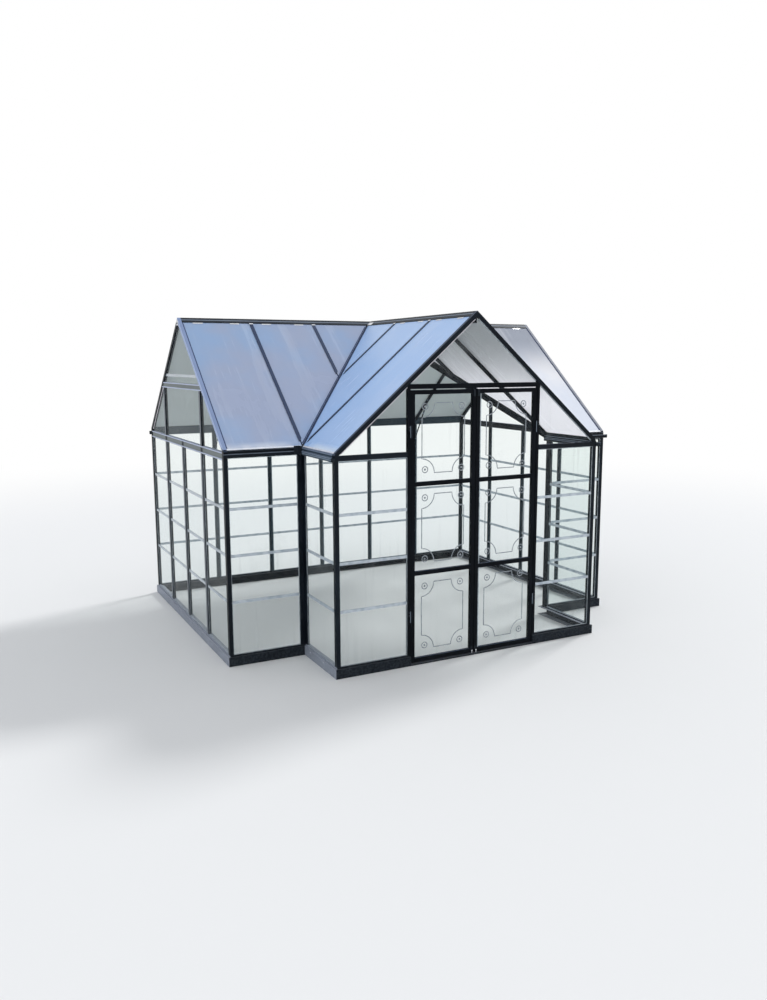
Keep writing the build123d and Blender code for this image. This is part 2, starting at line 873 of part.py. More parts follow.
with BuildPart() as bay_left_roof_sheets:
    last = bay_depth - rake_in + bite
    add(roof_sheets(bay_slope, edges_between(bay_lines, ridge_wing - hall_half, last), bay_sheet_cut))
finish("bay_left_roof_sheets", bay_left_roof_sheets.part)

with BuildPart() as bay_right_roof_sheets:
    add(mirror(bay_left_roof_sheets.part, about=Plane.YZ, mode=Mode.PRIVATE))
finish("bay_right_roof_sheets", bay_right_roof_sheets.part)

# Braces from the back posts up to the roof bars
with BuildPart() as roof_braces:
    low_end = Vector(groove / 2 + flange + play + brace_width / 2, -beam_height - brace_drop)
    high_end = Vector(brace_run, back_slope.height(brace_run, bar_depth - brace_width / 2))
    with BuildSketch(back_slope.side(bay_half - web / 2)):
        with BuildLine():
            Line(low_end, high_end)
        trace(line_width=brace_width)
        with Locations(low_end, high_end):
            Circle(brace_width / 2)
    extrude(amount=-brace_thick)
    mirror(about=Plane.YZ)
finish("roof_braces", roof_braces.part)


# Panes
def gable_panes(wall, slope, corner, posts, members):
    """The panes of a gable: its triangle less the posts and rails that divide it."""
    middle = wall.length / 2
    depth = rake_depth - bite
    low = tie_top - bite
    edge = corner + play
    top = eave_height + slope.height(slope.run, depth)
    with BuildPart() as panes:
        with BuildSketch(wall.face(-glass / 2)):
            with BuildLine():
                Polyline(
                    (edge, low),
                    (wall.length - edge, low),
                    (wall.length - edge, max(low, eave_height + slope.height(edge, depth)) + play),
                    (middle, top),
                    (edge, max(low, eave_height + slope.height(edge, depth)) + play),
                    close=True,
                )
            make_face()
            for place, width in posts:
                with Locations((place, 0)):
                    Rectangle(width, 2 * ridge_height, mode=Mode.SUBTRACT)
            for left, right, bottom, height in members:
                with Locations((left, bottom)):
                    Rectangle(right - left, height, align=(Align.MIN, Align.MIN), mode=Mode.SUBTRACT)
        extrude(amount=glass)
    return panes.part


post_width = web + 2 * play
upper_posts = [(place, post_width) for place in side_places if place != ridge_place]
deep_edge = corner_deep - bite
wide_edge = corner_wide - bite
leg_edge = inner_leg - corner_groove + play

with BuildPart() as left_wall_panes:
    add(wall_panes(left_side, (deep_edge, hall_depth - deep_edge), side_places, tie_bottom))
    rail_zone = (0, hall_depth, gable_rail_height + bite, gable_rail_depth - 2 * bite)
    strip_gap = strip_web + 2 * play
    strip_zone = (0, hall_depth, gable_strip - strip_gap / 2, strip_gap)
    add(gable_panes(left_side, front_slope, corner_deep, upper_posts, [rail_zone, strip_zone]))
finish("left_wall_panes", left_wall_panes.part)

with BuildPart() as right_wall_panes:
    add(mirror(left_wall_panes.part, about=Plane.YZ, mode=Mode.PRIVATE))
finish("right_wall_panes", right_wall_panes.part)

with BuildPart() as back_wall_panes:
    add(wall_panes(back, (wide_edge, back.length - wide_edge), back_places))
finish("back_wall_panes", back_wall_panes.part)

with BuildPart() as wing_panes:
    add(wall_panes(left_wing, (wide_edge, wing_width - leg_edge), []))
    mirror(about=Plane.YZ)
finish("wing_panes", wing_panes.part)

with BuildPart() as bay_side_panes:
    add(wall_panes(left_bay, (leg_edge, bay_depth - deep_edge), []))
    mirror(about=Plane.YZ)
finish("bay_side_panes", bay_side_panes.part)

with BuildPart() as front_panes:
    light_edge = bay_half - door_half - jamb + bite
    add(wall_panes(front, (wide_edge, light_edge), [], front_rail_bottom))
    mirror(about=Plane.YZ)
    jamb_zone = jamb - bite + play
    jamb_middle = door_half - play + jamb_zone / 2
    jambs = [(bay_half - side * jamb_middle, jamb_zone) for side in (1, -1)]
    doorway = (bay_half - door_half, bay_half + door_half, 0, header_height + header_depth - bite)
    add(gable_panes(front, bay_slope, corner_wide, jambs, [doorway]))
finish("front_panes", front_panes.part)

# Joint strips
with BuildPart() as gable_strips:
    add(run_along(left_side, strip_section(gable_strip), 0, hall_depth))
    split(bisect_by=under_rake(front_slope), keep=Keep.BOTTOM)
    split(bisect_by=behind(under_rake(front_slope)), keep=Keep.BOTTOM)

with BuildPart() as joint_strips:
    add(wall_strips(left_side, spans_between(corner_deep, side_places, hall_depth - corner_deep)))
    add(gable_strips.part)
    add(wall_strips(left_wing, [(corner_wide + play, wing_width - inner_leg - play)]))
    add(wall_strips(left_bay, [(inner_leg + play, bay_depth - corner_deep - play)]))
    add(wall_strips(front, [(corner_wide + play, bay_half - door_half - jamb - play)]))
    mirror(about=Plane.YZ)
    add(wall_strips(back, spans_between(corner_wide, back_places, back.length - corner_wide)))
finish("joint_strips", joint_strips.part)

# Doors
leaf_width = door_half - door_play - meeting_play / 2
leaf_height = leaf_top - leaf_bottom
light_width = leaf_width - 2 * stile
light_pitch = (leaf_height - stile) / lights
light_height = light_pitch - stile
leaf_middle = Vector(-meeting_play / 2 - leaf_width / 2, (leaf_bottom + leaf_top) / 2)
leaf_plane = Plane((0, bay_y, 0), x_dir=(1, 0, 0), z_dir=(0, -1, 0))


def door_frame():
    """A leaf's frame with its lights cut through and a groove round each for its pane."""
    with BuildPart() as leaf:
        with BuildSketch(leaf_plane.offset(post_out - leaf_depth)):
            with Locations(leaf_middle):
                Rectangle(leaf_width, leaf_height)
                with GridLocations(1, light_pitch, 1, lights):
                    Rectangle(light_width, light_height, mode=Mode.SUBTRACT)
        extrude(amount=leaf_depth)
        with BuildSketch(leaf_plane.offset(-groove / 2)):
            with Locations(leaf_middle):
                with GridLocations(1, light_pitch, 1, lights):
                    size = 2 * (bite + play)
                    Rectangle(light_width + size, light_height + size)
        extrude(amount=groove, mode=Mode.SUBTRACT)
    with BuildPart() as hinges:
        for height in hinge_heights:
            add(hinge_half(height, 1, -hinge_length / 2, -play / 2))
            with BuildSketch(Plane((hinge_x, hinge_y, height - hinge_length / 2))):
                Circle(hinge_pin + play)
            extrude(amount=hinge_length, mode=Mode.SUBTRACT)
    with BuildPart() as frame:
        add(leaf.part)
        add(hinges.part)
    return frame.part


def scallop_outline(width, height, radius, corner_x, corner_y):
    """A rectangle with a round bite out of each corner, on a plane of its own.

    The bites and the rings have many short sides, which keeps their meshes light.
    """
    with BuildSketch() as outline:
        Rectangle(width, height)
        with GridLocations(2 * corner_x, 2 * corner_y, 2, 2):
            RegularPolygon(radius, scallop_sides, mode=Mode.SUBTRACT)
    return outline.sketch


def door_scrollwork():
    """A raised line with scalloped corners on each light, and a ring in each scallop."""
    width = light_width - 2 * scroll_inset
    height = light_height - 2 * scroll_inset
    outer = scallop_outline(width, height, scallop, width / 2, height / 2)
    inner = scallop_outline(
        width - 2 * scroll_line, height - 2 * scroll_line, scallop + scroll_line, width / 2, height / 2
    )
    with BuildPart() as scrolls:
        with BuildSketch(leaf_plane.offset(glass / 2 + play)):
            with Locations(leaf_middle):
                with GridLocations(1, light_pitch, 1, lights):
                    add(outer)
                    add(inner, mode=Mode.SUBTRACT)
                    with GridLocations(width - ring_inset, height - ring_inset, 2, 2):
                        RegularPolygon(ring_radius, ring_sides)
                        RegularPolygon(ring_radius - scroll_line, ring_sides, mode=Mode.SUBTRACT)
        extrude(amount=scroll_thick)
    return scrolls.part


with BuildPart() as left_door_frame:
    add(door_frame())
finish("left_door_frame", left_door_frame.part)

with BuildPart() as left_door_panes:
    with BuildSketch(leaf_plane.offset(-glass / 2)):
        with Locations(leaf_middle):
            with GridLocations(1, light_pitch, 1, lights):
                Rectangle(light_width + 2 * bite, light_height + 2 * bite)
    extrude(amount=glass)
finish("left_door_panes", left_door_panes.part)

with BuildPart() as left_door_scrollwork:
    add(door_scrollwork())
finish("left_door_scrollwork", left_door_scrollwork.part)

for name, piece in (
    ("right_door_frame", left_door_frame.part),
    ("right_door_panes", left_door_panes.part),
    ("right_door_scrollwork", left_door_scrollwork.part),
):
    finish(name, mirror(piece, about=Plane.YZ))
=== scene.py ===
import json
from math import cos, pi, radians, sin, tan

import bmesh
import bpy
from mathutils import Euler, Matrix, Vector


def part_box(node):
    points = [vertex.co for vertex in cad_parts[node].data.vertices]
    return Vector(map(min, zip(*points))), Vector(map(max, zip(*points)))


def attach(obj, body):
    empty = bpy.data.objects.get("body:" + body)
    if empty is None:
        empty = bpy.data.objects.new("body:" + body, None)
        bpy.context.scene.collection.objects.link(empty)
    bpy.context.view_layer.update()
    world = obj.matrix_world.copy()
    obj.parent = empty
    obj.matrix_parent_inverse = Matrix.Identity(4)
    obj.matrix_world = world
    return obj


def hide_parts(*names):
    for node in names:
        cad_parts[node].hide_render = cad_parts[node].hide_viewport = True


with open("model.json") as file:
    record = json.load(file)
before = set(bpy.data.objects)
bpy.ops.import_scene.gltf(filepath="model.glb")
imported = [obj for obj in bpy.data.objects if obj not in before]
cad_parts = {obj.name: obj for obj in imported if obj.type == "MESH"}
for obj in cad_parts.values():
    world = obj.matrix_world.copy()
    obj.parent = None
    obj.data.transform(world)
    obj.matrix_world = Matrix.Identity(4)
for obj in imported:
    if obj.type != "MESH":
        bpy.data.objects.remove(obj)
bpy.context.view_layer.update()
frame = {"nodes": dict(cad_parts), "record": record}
print("frame loaded:", len(frame["nodes"]), "nodes")

scene = bpy.context.scene
scene.view_settings.view_transform = "Standard"
scene.cycles.transparent_max_bounces = 48  # a ray crosses many panes on its way through
scene.cycles.max_bounces = 16


# shader maths

class Value:
    # a socket that can be used in plain sums

    def __init__(self, recipe, socket):
        self.recipe = recipe
        self.socket = socket

    def maths(self, operation, *others):
        return self.recipe.maths(operation, self, *others)

    def __add__(self, other):
        return self.maths("ADD", other)

    def __sub__(self, other):
        return self.maths("SUBTRACT", other)

    def __mul__(self, other):
        return self.maths("MULTIPLY", other)

    def __truediv__(self, other):
        return self.maths("DIVIDE", other)

    def __pow__(self, other):
        return self.maths("POWER", other)

    def __rsub__(self, other):
        return self.recipe.maths("SUBTRACT", other, self)

    def __rtruediv__(self, other):
        return self.recipe.maths("DIVIDE", other, self)

    def __rpow__(self, other):
        return self.recipe.maths("POWER", other, self)

    __radd__ = __add__
    __rmul__ = __mul__

    def wave(self):
        return self.maths("SINE")

    def within(self, low, high):
        # 0 below low, 1 above high, soft between
        settings = {"interpolation_type": "SMOOTHSTEP", "clamp": True}
        return self.recipe.node("MapRange", settings, {0: self, 1: low, 2: high, 3: 0.0, 4: 1.0})

    def between(self, low, high, soft=0.0008):
        return self.within(low - soft, low) * (1 - self.within(high, high + soft))


class Recipe:
    # the nodes of one material

    def __init__(self, tree):
        self.tree = tree
        self.tree.nodes.clear()

    def node(self, kind, settings=None, sockets=None, output=0):
        made = self.tree.nodes.new("ShaderNode" + kind)
        for key, setting in (settings or {}).items():
            setattr(made, key, setting)
        for key, content in (sockets or {}).items():
            if isinstance(content, Value):
                self.tree.links.new(content.socket, made.inputs[key])
            else:
                made.inputs[key].default_value = content
        return Value(self, made.outputs[output]) if made.outputs else None

    def maths(self, operation, *terms):
        return self.node("Math", {"operation": operation}, dict(enumerate(terms)))

    def place(self):
        return self.node("TexCoord", None, None, "Object")

    def axes(self, vector):
        split = self.node("SeparateXYZ", None, {0: vector}).socket.node
        return [Value(self, socket) for socket in split.outputs]

    def facing(self):
        # the three parts of the surface's normal
        return self.axes(self.node("NewGeometry", None, None, "Normal"))

    def noise(self, scale, detail=3.0, stretch=(1, 1, 1), roughness=0.55):
        where = self.node("Mapping", None, {"Vector": self.place(), "Scale": stretch})
        sockets = {"Vector": where, "Scale": scale, "Detail": detail, "Roughness": roughness}
        return self.node("TexNoise", None, sockets)

    def blend(self, factor, first, second):
        # a colour between two colours
        first, second = (c if isinstance(c, Value) else (*c, 1) for c in (first, second))
        return self.node("Mix", {"data_type": "RGBA"}, {0: factor, 6: first, 7: second}, 2)

    def bump(self, height, strength, distance):
        return self.node("Bump", None, {"Height": height, "Strength": strength, "Distance": distance})

    def either(self, factor, first, second):
        return self.node("MixShader", None, {0: factor, 1: first, 2: second})

    def finish(self, surface, output="OutputMaterial"):
        self.node(output, None, {"Surface": surface})


def newMaterial(name):
    material = bpy.data.materials.new(name)
    material.use_nodes = True
    return material, Recipe(material.node_tree)


# places on the greenhouse, in metres
house = {
    "eave": 1.673,
    "pitch": 39.6,
    "baseOut": 0.024,
    "baseTop": 0.085,
    "baseWall": 0.003,
    "sill": 0.012,
    "postOut": 0.012,
    "capHalf": 0.020,
    "cornerWide": 0.018,
    "cornerDeep": 0.030,
    "innerLeg": 0.050,
    "jamb": 0.023,
    "gutterNear": 0.0123,
    "gutterWidth": 0.034,
    "gutterTop": 0.031,
    "gutterDepth": 0.029,
    "gutterWall": 0.003,
    "gutterPast": 0.024,
    "sheetOver": 0.004,
    "sheetThick": 0.004,
    "barHalf": 0.0145,
    "barLip": 0.0043,
    "rafterIn": 0.016,
    "rafterDepth": 0.028,
    "ridgeWing": 0.045,
    "ridgeLift": 0.0043,
    "lip": 0.009,
    "paneThick": 0.004,
}
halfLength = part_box("side_bases")[1].x - house["baseOut"]
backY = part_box("back_base")[1].y - house["baseOut"]
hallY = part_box("wing_bases")[0].y + house["baseOut"]
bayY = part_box("front_bases")[0].y + house["baseOut"]
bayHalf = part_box("front_bases")[1].x - house["baseOut"]
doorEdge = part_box("door_posts")[1].x
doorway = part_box("door_threshold")[1].x
ridgeY = (hallY + backY) / 2
hallModule = (ridgeY - hallY) / 2
bayModule = bayHalf / 2
rise = (backY - ridgeY) * tan(radians(house["pitch"]))
rimTop = house["eave"] - house["gutterTop"]
upAxis = Vector((0, 0, 1))
alongX = Vector((1, 0, 0))
outFront = Vector((0, -1, 0))

# hinges: where they stand, how far from the ends of a leaf, and their flaps on the posts
hinge = {
    "x": 0.57125,
    "out": 0.0193,
    "low": 0.368,
    "high": 0.305,
    "radius": 0.007,
    "flapOut": 0.0031,
    "screwAside": 0.0145,
    "screwLifts": (0.012, 0.034),
    "screwRadius": 0.0032,
}
hingeY = bayY - hinge["out"]


class Slope:
    # a roof slope: along its eave, up the slope, and out of its sheets

    def __init__(self, foot, inward, run):
        self.foot = Vector(foot)
        self.inward = Vector(inward)
        self.run = run
        self.tan = rise / run
        self.up = (self.inward + upAxis * self.tan).normalized()
        self.out = (upAxis - self.inward * self.tan).normalized()
        self.along = self.up.cross(self.out)
        self.cos = self.up.dot(self.inward)

    def point(self, along, run, lift=0.0):
        return self.foot + self.along * along + self.up * (run / self.cos) + self.out * lift


class Wall:
    # a wall seen from outside: along it, out of it, and its length

    def __init__(self, start, end):
        self.start = Vector(start)
        self.length = (Vector(end) - self.start).length
        self.along = (Vector(end) - self.start).normalized()
        self.out = self.along.cross(upAxis)

    def point(self, along, height, out=0.0):
        return self.start + self.along * along + upAxis * height + self.out * out


frontSlope = Slope((0, hallY, house["eave"]), (0, 1, 0), ridgeY - hallY)
backSlope = Slope((0, backY, house["eave"]), (0, -1, 0), backY - ridgeY)
leftBaySlope = Slope((-bayHalf, hallY, house["eave"]), (1, 0, 0), bayHalf)
rightBaySlope = Slope((bayHalf, hallY, house["eave"]), (-1, 0, 0), bayHalf)

leftSide = Wall((-halfLength, backY, 0), (-halfLength, hallY, 0))
rightSide = Wall((halfLength, hallY, 0), (halfLength, backY, 0))
leftWing = Wall((-halfLength, hallY, 0), (-bayHalf, hallY, 0))
rightWing = Wall((bayHalf, hallY, 0), (halfLength, hallY, 0))
leftBay = Wall((-bayHalf, hallY, 0), (-bayHalf, bayY, 0))
rightBay = Wall((bayHalf, bayY, 0), (bayHalf, hallY, 0))
front = Wall((-bayHalf, bayY, 0), (bayHalf, bayY, 0))
back = Wall((halfLength, backY, 0), (-halfLength, backY, 0))
sidePosts = [hallModule * n for n in range(1, 4)]
backPosts = [halfLength + bayModule * n for n in range(-2, 3)]
roofEdges = [-halfLength] + [bayModule * n for n in range(-2, 3)] + [halfLength]


# dark powder-coated paint of the frame, with painted light laid on by facing: painted sky reflection on
# upward faces, painted sunlight on outward sides, painted light on faces turned to the front, and painted
# highlight lines
paintLook = {
    "dark": (0.0030, 0.0055, 0.0095),
    "light": (0.0075, 0.0125, 0.020),
    # painted sky reflection on the upward faces
    "top": (0.036, 0.055, 0.100),
    "topShare": 0.85,
    # painted sunlight on the outward sides
    "side": (0.02, 0.03, 0.04),
    "sideShare": 0.0,
    # painted light on the faces turned to the front
    "inside": (0.035, 0.060, 0.080),
    "insideShare": 0.0,
    # painted highlight lines
    "line": (0.30, 0.36, 0.46),
    "lineShare": 0.75,
    "lineOutward": False,
    "frontOnly": False,
    "upward": (0.35, 0.76),
    "outward": (0.9, 1.1),
    "inward": (0.6, 0.9),
    "patchScale": 3.2,
    "grainScale": 60,
    "runScale": 26,
    "orangePeelScale": 420,
    "dust": (0.10, 0.115, 0.13),
    "dustShare": 0.16,
    "roughness": 0.38,
    "shine": 0.12,
    "splashHeight": 0.22,
    "splashShare": 0.5,
}
# the same paint painted darker on the door's frame and posts, as painted shade
doorLook = dict(
    paintLook, dark=(0.0012, 0.0022, 0.0042), light=(0.0035, 0.0055, 0.0090), dustShare=0.10, shine=0.07,
)
# far posts and beam: painted light on their faces turned to the front
farLook = dict(paintLook, insideShare=0.85)
# roof bars: a stronger blue painted sky reflection on their tops
barLook = dict(paintLook, top=(0.034, 0.054, 0.115), topShare=0.95, dustShare=0.08)
# left wall's posts: painted sunlight on their outward sides
leftPostLook = dict(paintLook, side=(0.17, 0.19, 0.22), sideShare=0.85)
# gable rafters: painted sky reflection on their tops and painted sunlight on their outward sides, toward
# the front only
rafterLook = dict(
    paintLook, top=(0.27, 0.35, 0.56), topShare=0.9, side=(0.43, 0.53, 0.78), sideShare=0.95,
    frontOnly=True,
)
# right gable rafters: a duller painted reflection on their tops
rightRafterLook = dict(rafterLook, top=(0.17, 0.19, 0.25))
# tie beams and gable rails: painted sunlight on their outward faces and painted highlights on their lips
tieLook = dict(
    paintLook, top=(0.40, 0.45, 0.60), side=(0.17, 0.20, 0.20), sideShare=0.9, topShare=0.8,
    line=(0.50, 0.56, 0.72), lineOutward=True,
)
# wing eaves: only a faint painted reflection on top, and a painted highlight along the gutter's rim
wingEaveLook = dict(paintLook, top=(0.012, 0.018, 0.028), line=(0.20, 0.24, 0.30))
# bay eaves: painted light on tops and outward sides, and painted highlight lines
bayEaveLook = dict(paintLook, top=(0.16, 0.21, 0.30), side=(0.060, 0.095, 0.135), sideShare=0.9)
# ridge caps: a faint painted reflection on top and a painted highlight line on the fold
ridgeLook = dict(paintLook, top=(0.010, 0.016, 0.026))
# side and bay bases: painted light on their tops and outward sides, with more dust and splash
sideBaseLook = dict(
    paintLook, top=(0.46, 0.49, 0.58), side=(0.35, 0.385, 0.46), sideShare=0.85,
    dustShare=0.3, splashShare=1.2,
)
# other bases: a faint painted sheen on top, with more dust and splash
baseLook = dict(paintLook, top=(0.05, 0.055, 0.065), dustShare=0.26, splashShare=1.2, roughness=0.46)
# widths of the painted highlight lines
lineWidths = {"rimBelow": 0.0030, "rimAbove": 0.0005, "eave": 0.003, "ridge": 0.0035}
lineDrops = {"eave": (0.0035, 0.015, -0.012), "ridge": 0.0205}  # painted highlight lines: under the gutter's rim, under the ridge
brace = {"pitch": 0.075, "share": 0.78}
# a painted highlight down the left-facing side of each hinge knuckle
knuckleLook = {"dark": (0.010, 0.014, 0.020), "edge": (0.42, 0.50, 0.60), "edgeFrom": 0.86, "edgeTo": 0.96}


def lipLines(height):
    # painted highlights on the upper and lower lips of the tie beams and gable rails
    mask = 0.0
    for name in ("tie_beams", "gable_rails"):
        low, high = (corner.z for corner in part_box(name))
        mask = mask + height.between(low, low + house["lip"]) + height.between(high - house["lip"], high)
    return mask


def gutterRim(height):
    # a painted highlight line along the gutter's rim
    return height.between(rimTop - lineWidths["rimBelow"], rimTop + lineWidths["rimAbove"])


def eaveLines(height):
    # painted highlight lines on the rim of the gutter, its fold, and the edge of the beam above it
    mask = 0.0
    for drop in lineDrops["eave"]:
        mask = mask + height.between(rimTop - drop, rimTop - drop + lineWidths["eave"])
    return mask


def ridgeLines(height):
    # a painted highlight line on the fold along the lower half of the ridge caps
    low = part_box("hall_ridge")[1].z - lineDrops["ridge"]
    return height.between(low, low + lineWidths["ridge"], 0.0015)


def braceDashes(height):
    # light dashes painted along the braces where their holes are, as painted light through them
    return (height * (2 * pi / brace["pitch"])).wave().within(brace["share"], brace["share"] + 0.1)


def paintMaterial(name, look, lines=None, knuckles=False):
    material, recipe = newMaterial(name)
    where = recipe.axes(recipe.place())
    facing = recipe.facing()
    upward = facing[2].within(*look["upward"])
    outward = (facing[0] * where[0]).within(*look["outward"])  # left or right, away from the middle: the faces that take painted sunlight
    if look["frontOnly"]:
        outward = outward * (0.05 + ridgeY - where[1]).within(0, 0.05)
    patches = recipe.noise(look["patchScale"], 4)
    grain = recipe.noise(look["grainScale"], 3)
    runs = recipe.noise(look["runScale"], 4, (1, 1, 0.05))  # thin runs of dried water
    colour = recipe.blend(patches.within(0.3, 0.75), look["dark"], look["light"])
    inward = (0 - facing[1]).within(*look["inward"])
    # painted light on faces turned to the front, then painted sunlight on outward sides, then painted sky
    # reflection on upward faces
    colour = recipe.blend(inward * look["insideShare"] * (0.6 + patches * 0.6), colour, look["inside"])
    colour = recipe.blend(outward * look["sideShare"] * (0.8 + patches * 0.4), colour, look["side"])
    colour = recipe.blend(upward * look["topShare"] * (0.7 + patches * 0.6), colour, look["top"])
    # painted highlight lines
    if lines:
        share = outward if look["lineOutward"] else look["lineShare"]
        colour = recipe.blend(lines(where[2]) * share * (0.6 + patches * 0.8), colour, look["line"])
    # a painted highlight down the left-facing side of each hinge knuckle
    if knuckles:
        aside = where[0].maths("ABSOLUTE") - hinge["x"]
        ahead = where[1] - hingeY
        away = (aside * aside + ahead * ahead) ** 0.5
        lit = (0 - facing[0]).within(knuckleLook["edgeFrom"], knuckleLook["edgeTo"])
        shade = recipe.blend(lit, knuckleLook["dark"], knuckleLook["edge"])
        colour = recipe.blend(1 - away.within(hinge["radius"], hinge["radius"] + 0.0004), colour, shade)
    low = (1 - where[2] / look["splashHeight"]).within(0, 1) * grain.within(0.35, 0.7) * look["splashShare"]
    dust = (upward * patches.within(0.35, 0.8) + runs.within(0.62, 0.80) * 0.3 + low) * look["dustShare"]
    recipe.finish(recipe.node("BsdfPrincipled", None, {
        "Base Color": recipe.blend(dust, colour, look["dust"]),
        "Roughness": look["roughness"] + grain * 0.10 + dust * 0.5,
        "Specular IOR Level": look["shine"],
        "Normal": recipe.bump(recipe.noise(look["orangePeelScale"], 2) * 0.6 + grain * 0.4, 0.10, 0.0006),
    }))
    return material


# milky twin-wall sheets of the roof, with painted light: blue and lavender painted sky reflection, a lit
# copy for each slope, painted shade high up, and an underside painted as lit through the sheet
sheetLook = {
    # blue and lavender: painted sky reflection over the milky sheet
    "blue": (0.31, 0.47, 0.74),
    "lavender": (0.40, 0.46, 0.64),
    "bloom": (0.80, 0.84, 0.93),
    # underside: the down-facing faces painted as lit through the sheet
    "underside": (0.60, 0.63, 0.57),
    "through": (0.70, 0.76, 0.84),
    "clearTint": (0.86, 0.90, 0.95),
    "flutePitch": 0.008,
    "fluteShare": 0.04,
    "cloudScale": 1.3,
    "streakScale": 6,
    "fineScale": 30,
    "rippleScale": 9,
    "glow": 0.26,
    "clear": 0.05,
    "streaks": 0.30,
    "fineStreaks": 0.22,
    "footHeight": 0.045,
    "footShare": 0.9,
    "roughness": 0.18,
    "shine": 0.4,
    "coat": 0.12,
    # dim and dimUnderside: painted shade over the upper part of a slope
    "dim": (0.32, 0.36, 0.44),
    "dimUnderside": (0.34, 0.37, 0.40),
    "dimShare": 0.0,
    "dimFrom": 2.02,
    "dimTo": 2.55,
}
# right hall slope: painted near white as painted sunlight, with painted shade higher up
rightSheetLook = dict(
    sheetLook, blue=(0.83, 0.87, 0.97), lavender=(0.98, 0.97, 1.0), bloom=(0.97, 0.97, 0.99), glow=0.14,
    streaks=0.60, dim=(0.22, 0.25, 0.32), dimShare=0.92, dimFrom=2.14, roughness=0.5, shine=0.15, coat=0.0,
)
# bay's left slope: a brighter blue painted sky reflection
leftBaySheetLook = dict(
    sheetLook, blue=(0.37, 0.60, 1.0), lavender=(0.44, 0.64, 1.0), bloom=(0.74, 0.85, 1.0),
    streaks=0.10, glow=0.05, shine=0.3, coat=0.06,
)
# bay's right slope: a bright underside as painted light coming through, with painted shade higher up
rightBaySheetLook = dict(
    sheetLook, blue=(0.49, 0.54, 0.68), lavender=(0.60, 0.63, 0.74), underside=(0.95, 0.93, 0.97),
    through=(0.98, 0.97, 0.99), glow=0.62, clear=0.02, dimShare=0.9, dimFrom=1.95,
)


def sheetMaterial(name, look, across):
    # the flutes run up the slope, so they change only along the axis called across
    material, recipe = newMaterial(name)
    where = recipe.axes(recipe.place())
    below = (0 - recipe.facing()[2]).within(0.2, 0.5)
    stretch = (1, 0.07, 0.07) if across == 0 else (0.07, 1, 0.07)
    clouds = recipe.noise(look["cloudScale"], 4)
    streaks = recipe.noise(look["streakScale"], 4, stretch)
    fine = recipe.noise(look["fineScale"], 3, stretch)
    flutes = (where[across] * (2 * pi / look["flutePitch"])).wave()
    lower = house["eave"] + house["sheetThick"]
    foot = 1 - where[2].within(lower, lower + look["footHeight"])  # dried water at the lower ends
    bloom = streaks.within(0.50, 0.80) * look["streaks"] + fine.within(0.56, 0.88) * look["fineStreaks"]
    bloom = bloom + foot * clouds.within(0.44, 0.56) * look["footShare"]
    # painted sky reflection: the milky sheet drawn in blue and lavender
    colour = recipe.blend(clouds.within(0.36, 0.64), look["blue"], look["lavender"])
    # painted shade over the upper part of the slope
    high = where[2].within(look["dimFrom"], look["dimTo"]) * look["dimShare"]
    colour = recipe.blend(high, colour, look["dim"])
    colour = recipe.blend((flutes + 1) * look["fluteShare"] + bloom, colour, look["bloom"])
    # the down-facing faces painted as lit through the sheet, with painted shade higher up
    colour = recipe.blend(below, colour, recipe.blend(high, look["underside"], look["dimUnderside"]))
    skin = recipe.node("BsdfPrincipled", None, {
        "Base Color": colour,
        "Roughness": look["roughness"] + clouds * 0.14 + bloom * 0.3,
        "Specular IOR Level": look["shine"],
        "Coat Weight": look["coat"],
        "Coat Roughness": 0.08,
        "Normal": recipe.bump(flutes * 0.3 + recipe.noise(look["rippleScale"], 2, stretch), 0.12, 0.004),
    })
    through = recipe.node("BsdfTranslucent", None, {"Color": (*look["through"], 1)})
    clear = recipe.node("BsdfTransparent", None, {"Color": (*look["clearTint"], 1)})
    glow = look["glow"] * (1 - high * 0.75)
    recipe.finish(recipe.either(look["clear"], recipe.either(glow, skin, through), clear))
    return material


# clear, lightly rippled panes
paneLook = {
    "tint": (0.975, 0.987, 0.984),
    "film": (0.60, 0.66, 0.68),
    "streak": (0.80, 0.85, 0.87),
    "filmShare": 0.012,
    "runShare": 0.06,
    "runScale": 16,
    "smudgeShare": 0.050,
    "smudgeScale": 1.7,
    "lowShare": 0.03,
    "lowHeight": 0.5,
    "rippleScale": 2.6,
    "edgeShare": 0.36,
}


def paneMaterial(name, look):
    material, recipe = newMaterial(name)
    height = recipe.axes(recipe.place())[2]
    runs = recipe.noise(look["runScale"], 4, (1, 1, 0.05))
    smudges = recipe.noise(look["smudgeScale"], 5, roughness=0.65)
    low = (1 - height / look["lowHeight"]).within(0, 1)
    haze = look["filmShare"] + runs.within(0.58, 0.85) * look["runShare"]
    haze = haze + smudges.within(0.55, 0.80) * look["smudgeShare"]
    haze = haze + low * runs.within(0.45, 0.75) * look["lowShare"]
    edgeOn = recipe.node("LayerWeight", None, {"Blend": 0.28}, "Facing")
    film = recipe.node("BsdfPrincipled", None, {
        "Base Color": recipe.blend(smudges, look["film"], look["streak"]),
        "Roughness": 0.05 + haze * 0.9,
        "Normal": recipe.bump(recipe.noise(look["rippleScale"], 2), 0.10, 0.03),
    })
    clear = recipe.node("BsdfTransparent", None, {"Color": (*look["tint"], 1)})
    recipe.finish(recipe.either(haze + edgeOn ** 3.0 * look["edgeShare"], clear, film))
    return material


# translucent strips between and round the panes
stripLook = {
    "colour": (0.70, 0.76, 0.82),
    "shade": (0.36, 0.43, 0.50),
    "solid": 0.72,
    "dirtScale": 22,
    "grainScale": 90,
}
beadLook = dict(stripLook, colour=(0.62, 0.68, 0.72), shade=(0.30, 0.35, 0.40), solid=0.5)
